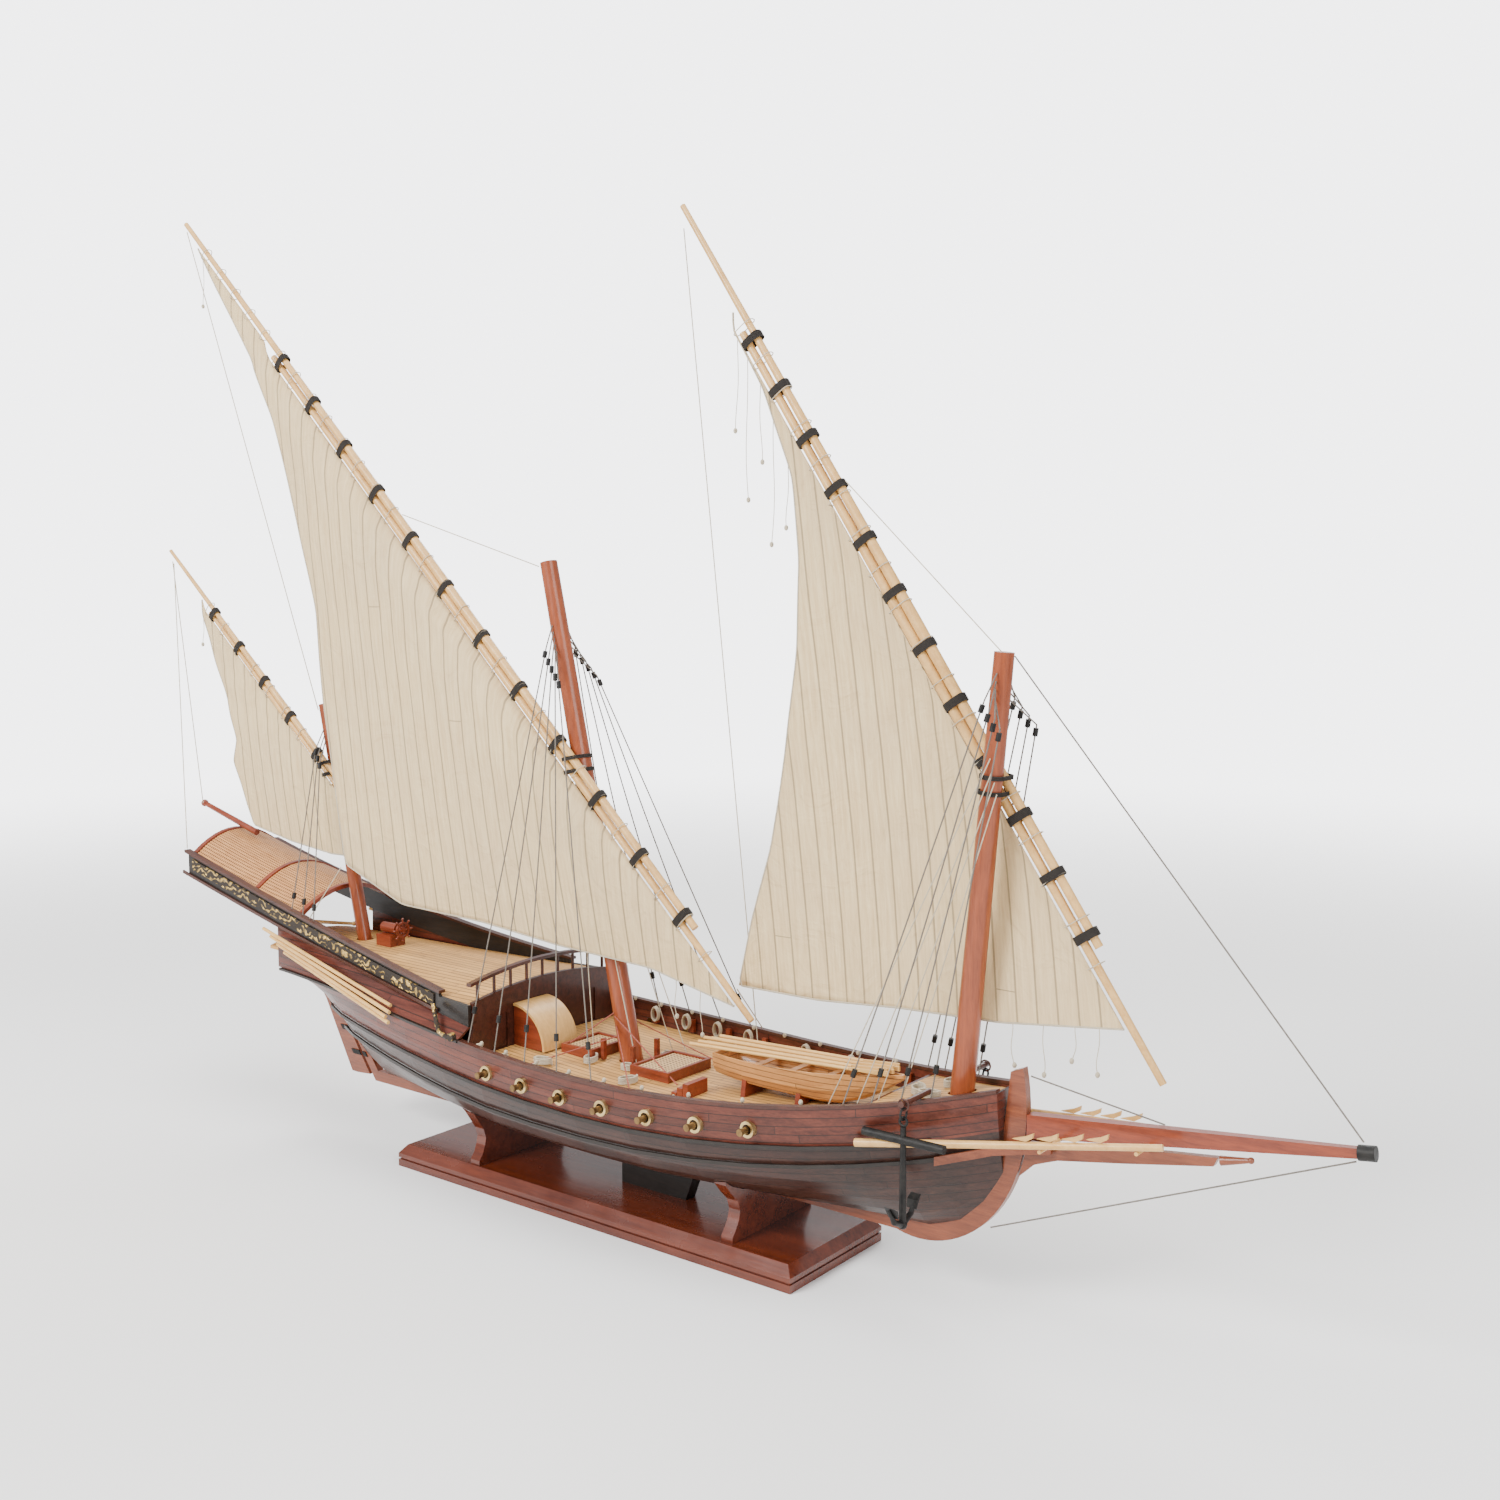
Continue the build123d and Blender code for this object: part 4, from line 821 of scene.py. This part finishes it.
def crossing(name):
    """Where the yard crosses its mast, and the mast's direction."""
    peak, way, _, _ = yard_lines(name)
    foot, head, _ = MAST_LINES[name]
    rise = (head - foot).normalized()
    lean, steep = rise.x / rise.z, way.x / way.z
    height = (peak.x - steep * peak.z - foot.x + lean * foot.z) / (lean - steep)
    return foot + rise * ((height - foot.z) / rise.z), rise


def parrel_turns(name):
    """Loops round the mast and the yard together: half round one, then half round the other."""
    middle, rise = crossing(name)
    yard_y = SAILS[name][1]
    ahead, aside = Vector((rise.z, 0, -rise.x)), Vector((0, math.copysign(1, yard_y), 0))
    hug, reach = MAST_LINES[name][2] + 0.0008, abs(yard_y)
    loops = []
    for shift in PARREL_TURNS:
        loop = []
        for k in range(25):
            turn = math.pi * (0.5 + k / 24)
            loop.append(middle + rise * shift + aside * hug * math.cos(turn) + ahead * hug * math.sin(turn))
        for k in range(9):
            turn = math.pi * (-0.5 + k / 8)
            out = reach + (SPARS[name][0] + CLEAR) * math.cos(turn)
            loop.append(middle + rise * shift + aside * out + ahead * hug * math.sin(turn))
        loops.append(loop)
    return loops


for name in SPARS:
    turns = woolding_turns(name) + parrel_turns(name)
    bands = cord_bundle(f"{name}_wooldings", turns, 0.00042, black_rope, f"{name}_rig", closed=True, sides=1)
    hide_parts(f"{name}_lashings")
    print(name, "crosses its mast at", round(crossing(name)[0].z, 4), "with", len(turns), "turns")

# %% [markdown]
# ## Beads and threads
# A few thin threads hang from the leeches and sails' feet, and each ends in a small bead. More beads
# stand on the rails. One bead is a sphere made a little longer than wide, and the rest are copies.
# The rail's height and width are the hull's own two cubics, so beads and coils sit on it anywhere.

# %% Model one bead
DECK_BELOW_RAIL = 0.0107
HALF_BEAM = (-0.104, -0.218, 0, 0.239)  # half the width at the rail as a cubic, highest power first


def deck_height(x):
    return BOARD * float(np.polyval(SHEER, x / BOARD)) - DECK_BELOW_RAIL


def rail_width(x):
    return BOARD * float(np.polyval(HALF_BEAM, x / BOARD))


def copy_to(pattern, name, spot, body):
    """A copy with a mesh of its own, moved to its place inside that mesh."""
    copy = pattern.copy()
    copy.data = pattern.data.copy()
    copy.name = name
    bpy.context.scene.collection.objects.link(copy)
    copy.data.transform(spot)
    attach(copy, body)


bpy.ops.mesh.primitive_uv_sphere_add(segments=12, ring_count=8, radius=0.0012)
bead = bpy.context.object
bead.name = "thread_bead"
bpy.ops.object.mode_set(mode="EDIT")
bpy.ops.mesh.select_all(action="SELECT")
bpy.ops.transform.resize(value=(1, 1, 1.35), center_override=(0, 0, 0))
bpy.ops.object.mode_set(mode="OBJECT")
bpy.ops.object.shade_smooth()
bead.data.materials.append(cream_rope)
print("bead height:", round(2 * max(corner.co.z for corner in bead.data.vertices), 4), "m")

# %% Hang the threads and set the beads
THREADS = {  # share of the way along the leech and foot where each thread hangs, and its length
    "fore": [(0.02, 0.052), (0.035, 0.080), (0.055, 0.044), (0.08, 0.070), (0.11, 0.036), (0.86, 0.022),
             (0.90, 0.026), (0.94, 0.018), (0.97, 0.024)],
    "main": [(0.015, 0.034), (0.93, 0.022), (0.96, 0.026)],
    "mizzen": [(0.03, 0.022), (0.95, 0.016)],
}
for name, hanging in THREADS.items():
    lines = []
    for i, (share, length) in enumerate(hanging):
        top = edges[name][int(share * (len(edges[name]) - 1))]
        sway = [0.0016 * math.sin(1.7 * i + 5 * k / 8) * k / 8 for k in range(9)]
        lines.append([(top[0] + sway[k], top[1], top[2] - length * k / 8) for k in range(9)])
    threads = cord_bundle(f"{name}_threads", lines, 0.00022, cream_rope, f"{name}_rig")
    for i, line in enumerate(lines):
        copy_to(bead, f"{name}_bead_{i}", Matrix.Translation(line[-1]), f"{name}_rig")
rail_beads = [(x, aside * (rail_width(x) - 0.0052), deck_height(x) + 0.0134) for aside in (-1, 1)
              for x in (-0.052, -0.030, -0.004, 0.022, 0.048, 0.074, 0.104, 0.136, 0.168)]
for i, spot in enumerate(rail_beads):
    copy_to(bead, f"rail_bead_{i}", Matrix.Translation(spot), "hull")
bpy.data.objects.remove(bead)
print("beads on the rails:", len(rail_beads))

# %% [markdown]
# ## Running lines
# Vangs, lifts and sheets lead from a yard or a sail's corner to something on the hull. When the yard swings,
# one end goes with it and the other stays; here each line is a straight cord between its two ends and
# belongs to no body.

# %% Lead the running lines
RUNNING = {  # the end aloft, then the end on the ship
    "main": [((-0.1865, -0.0095, 0.4299), (-0.0622, -0.0066, 0.3935)),
             ((-0.4248, -0.0095, 0.6481), (-0.2877, -0.0049, 0.2952)),
             ((-0.2455, -0.0206, 0.1875), (-0.2510, -0.0441, 0.1544))],
    "fore": [((0.1563, 0.0093, 0.4364), (0.2572, 0.0064, 0.3426)),
             ((0.0429, 0.0093, 0.5864), (0.0880, 0.0240, 0.0896)),
             ((0.0815, 0.0093, 0.1445), (0.0520, 0.0733, 0.1024))],
    "mizzen": [((-0.4608, -0.0075, 0.4040), (-0.4360, -0.0036, 0.2165)),
               ((-0.4592, -0.0075, 0.4024), (-0.4040, -0.0389, 0.1881))],
}
for name, lines in RUNNING.items():
    for i, (aloft, below) in enumerate(lines):
        points = [Vector(below).lerp(Vector(aloft), k / 24) for k in range(25)]
        line = cord_bundle(f"{name}_line_{i}", [points], 0.00034, cream_rope, None)
        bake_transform(line)
        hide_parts(f"{name}_running_lines")
        print(name, "line", i, "is", round((Vector(aloft) - Vector(below)).length, 3), "m long")

# %% [markdown]
# ## Coils
# Spare cord is coiled on the deck at two masts and hung along the bulwark. One coil is modelled:
# a small ring swept round by a screw modifier, its ends filled and the turns squeezed into an
# oval. The others are copies of it, each with a mesh of its own.

# %% Model one coil
COIL_CORD, COIL_RADIUS = 0.00055, 0.0042
bpy.ops.mesh.primitive_circle_add(vertices=8, radius=COIL_CORD, rotation=(math.pi / 2, 0, 0),
                                  location=(COIL_RADIUS, 0, 0))
coil = bpy.context.object
coil.name = "rope_coil"
bpy.ops.object.transform_apply(location=True, rotation=True, scale=True)
turns = coil.modifiers.new("turns", "SCREW")
turns.axis = "Z"
turns.iterations = 4
turns.screw_offset = 0.00095
turns.steps = turns.render_steps = 22
bpy.ops.object.modifier_apply(modifier="turns")
bpy.ops.object.mode_set(mode="EDIT")
bpy.ops.mesh.select_mode(type="EDGE")
bpy.ops.mesh.select_all(action="DESELECT")
bpy.ops.mesh.select_non_manifold()
bpy.ops.mesh.edge_face_add()
bpy.ops.mesh.select_all(action="SELECT")
bpy.ops.transform.resize(value=(1.35, 0.85, 1), center_override=(0, 0, 0))
bpy.ops.mesh.normals_make_consistent(inside=False)
bpy.ops.object.mode_set(mode="OBJECT")
bpy.ops.object.shade_smooth()
coil.data.materials.append(cream_rope)
print("coil triangles:", sum(len(face.vertices) - 2 for face in coil.data.polygons))

# %% [markdown]
# ### Where the coils lie
# Six lie flat round the main mast, three on the forecastle, and a row hangs inside each bulwark. A
# hung coil is the same ring turned to face the middle of the ship and made a little smaller.

# %% Place the coils
FORECASTLE_RISE = 0.0105  # from the height of the waist deck to a coil on the forecastle
HUNG_SIZE = 0.8
spots = []
for x, y, turn in ((0.019, -0.015, 0.4), (-0.010, -0.019, 1.9), (0.022, 0.016, 2.6), (-0.013, 0.017, 0.9),
                   (0.034, -0.034, 1.2), (-0.028, -0.042, 0.2)):
    spots.append(Matrix.Translation((x, y, deck_height(x) + 0.0004)) @ Matrix.Rotation(turn, 4, "Z"))
for x, y, turn in ((0.226, -0.013, 0.3), (0.226, 0.012, 1.3), (0.214, -0.004, 2.2)):
    flat_at = (x, y, deck_height(x) + FORECASTLE_RISE)
    spots.append(Matrix.Translation(flat_at) @ Matrix.Rotation(turn, 4, "Z"))
facing = Matrix.Rotation(math.pi / 2, 4, "X") @ Matrix.Rotation(math.pi / 2, 4, "Z")
for x in (-0.060, -0.036, -0.010, 0.016, 0.042, 0.090, 0.128, 0.160):
    for aside in (-1, 1):
        hung_at = (x + 0.004, aside * (rail_width(x) - 0.0072), deck_height(x) + 0.0072)
        spots.append(Matrix.Translation(hung_at) @ Matrix.Scale(HUNG_SIZE, 4) @ facing)
for i, spot in enumerate(spots):
    copy_to(coil, f"coil_{i}", spot, "hull")
bpy.data.objects.remove(coil)
print("coils:", len(spots))

# %% [markdown]
# ### Falls and tackles at the masts
# The ends of the halyards come down two masts and are made fast on deck. Shorter red tackles spread from the
# foot of the main mast. Each is a straight, taut cord between two given points.

# %% Halyards and tackles
MAST_FOOT_X, MAST_SLOPE = 0.005, 0.219  # the main mast leans aft by this much for each metre up
FORECASTLE_START = 0.197
ON_FORECASTLE, ON_WAIST = 0.0102, 0.001  # how far above the waist deck's height a fall ends
FALLS = (  # the highest point on the mast, then where each fall meets the deck
    ((-0.034, 0.0, 0.276), ((-0.016, -0.0095), (0.020, -0.0100), (0.034, 0.022), (0.018, 0.026),
                            (-0.020, 0.030))),
    ((0.2555, 0.0, 0.292), ((0.170, -0.030), (0.186, -0.026), (0.196, -0.021), (0.212, -0.018))),
)
halyards = []
for top, feet in FALLS:
    for i, (x, y) in enumerate(feet):
        start = Vector((top[0] + 0.0013 * i, math.copysign(0.0064, y), top[2] - 0.006 * i))
        landing = ON_FORECASTLE if x > FORECASTLE_START else ON_WAIST
        end = Vector((x, y, deck_height(x) + landing))
        halyards.append([start.lerp(end, k / 6) for k in range(7)])
tackles = []
for x, y, up in ((-0.032, -0.050, 0.016), (0.046, -0.046, 0.022), (0.060, -0.020, 0.028),
                 (0.052, 0.030, 0.024), (-0.034, 0.044, 0.018), (-0.040, -0.012, 0.030)):
    knot = Vector((MAST_FOOT_X - MAST_SLOPE * up, math.copysign(0.0069, y), deck_height(MAST_FOOT_X) + up))
    tackles.append([knot.lerp(Vector((x, y, deck_height(x) + 0.0008)), k / 4) for k in range(5)])
mast_tackles = cord_bundle("mast_foot_tackles", tackles, 0.00042, red_rope, "hull")
falls = cord_bundle("halyard_falls", halyards, 0.00032, cream_rope, "hull")
print("halyards:", len(halyards))

# %% [markdown]
# ## Floor and light
# A plain pale floor and big soft lamps, as on a studio table. The key lamp stands to the left of
# the camera, a weaker one fills from the right, and one from behind draws the edges.

# %% Floor and lamps
bpy.ops.mesh.primitive_plane_add(size=12, location=(0, 0, -0.0002))
floor = bpy.context.object
floor.name = "studio_floor"
floor_paint, floor_tree, floor_shader, floor_place = finish_shader("Studio floor", 0.9)
floor_shader.inputs["Base Color"].default_value = (0.88, 0.875, 0.865, 1)
distance = node(floor_tree, "ShaderNodeVectorMath", operation="LENGTH")
floor_tree.links.new(floor_place, distance.inputs[0])
fade = node(floor_tree, "ShaderNodeMapRange", {"From Min": 0.8, "From Max": 2.6},
            interpolation_type="SMOOTHSTEP")
floor_tree.links.new(distance.outputs["Value"], fade.inputs[0])
faded = node(floor_tree, "ShaderNodeMixShader")
floor_tree.links.new(fade.outputs[0], faded.inputs[0])
floor_tree.links.new(floor_shader.outputs[0], faded.inputs[1])
floor_tree.links.new(node(floor_tree, "ShaderNodeBsdfTransparent").outputs[0], faded.inputs[2])
floor_tree.links.new(faded.outputs[0], floor_tree.nodes["Material Output"].inputs[0])
floor.data.materials.append(floor_paint)


def lamp(name, place, aim, size, power):
    light = bpy.data.lights.new(name, "AREA")
    light.shape = "DISK"
    light.size = size
    light.energy = power
    made = bpy.data.objects.new(name, light)
    bpy.context.scene.collection.objects.link(made)
    made.location = place
    made.rotation_euler = (Vector(aim) - Vector(place)).to_track_quat("-Z", "Y").to_euler()


SHIP_MIDDLE = (0, 0, 0.25)
lamp("key lamp", (-0.7, -2.2, 1.7), SHIP_MIDDLE, 1.3, 122)
lamp("fill lamp", (2.3, -0.8, 1.1), SHIP_MIDDLE, 1.6, 40)
lamp("back lamp", (-0.6, 2.0, 1.8), SHIP_MIDDLE, 1.4, 42)
lamp("top lamp", (0.2, -0.2, 2.4), SHIP_MIDDLE, 1.8, 44)
print("lamps:", len(bpy.data.lights))

# %% [markdown]
# ### The surroundings
# The camera sees a bright white past the floor. The model itself gets far less light from there, so
# its shaded side keeps its depth.

# %% World
AMBIENT, BACKDROP = 0.75, 4.0
world = bpy.data.worlds.new("studio")
bpy.context.scene.world = world
world.use_nodes = True
sky = world.node_tree
sky.nodes["Background"].inputs[0].default_value = (0.98, 0.98, 1.0, 1)
seen = node(sky, "ShaderNodeLightPath").outputs["Is Camera Ray"]
sky.links.new(scaled(sky, seen, BACKDROP, AMBIENT), sky.nodes["Background"].inputs[1])
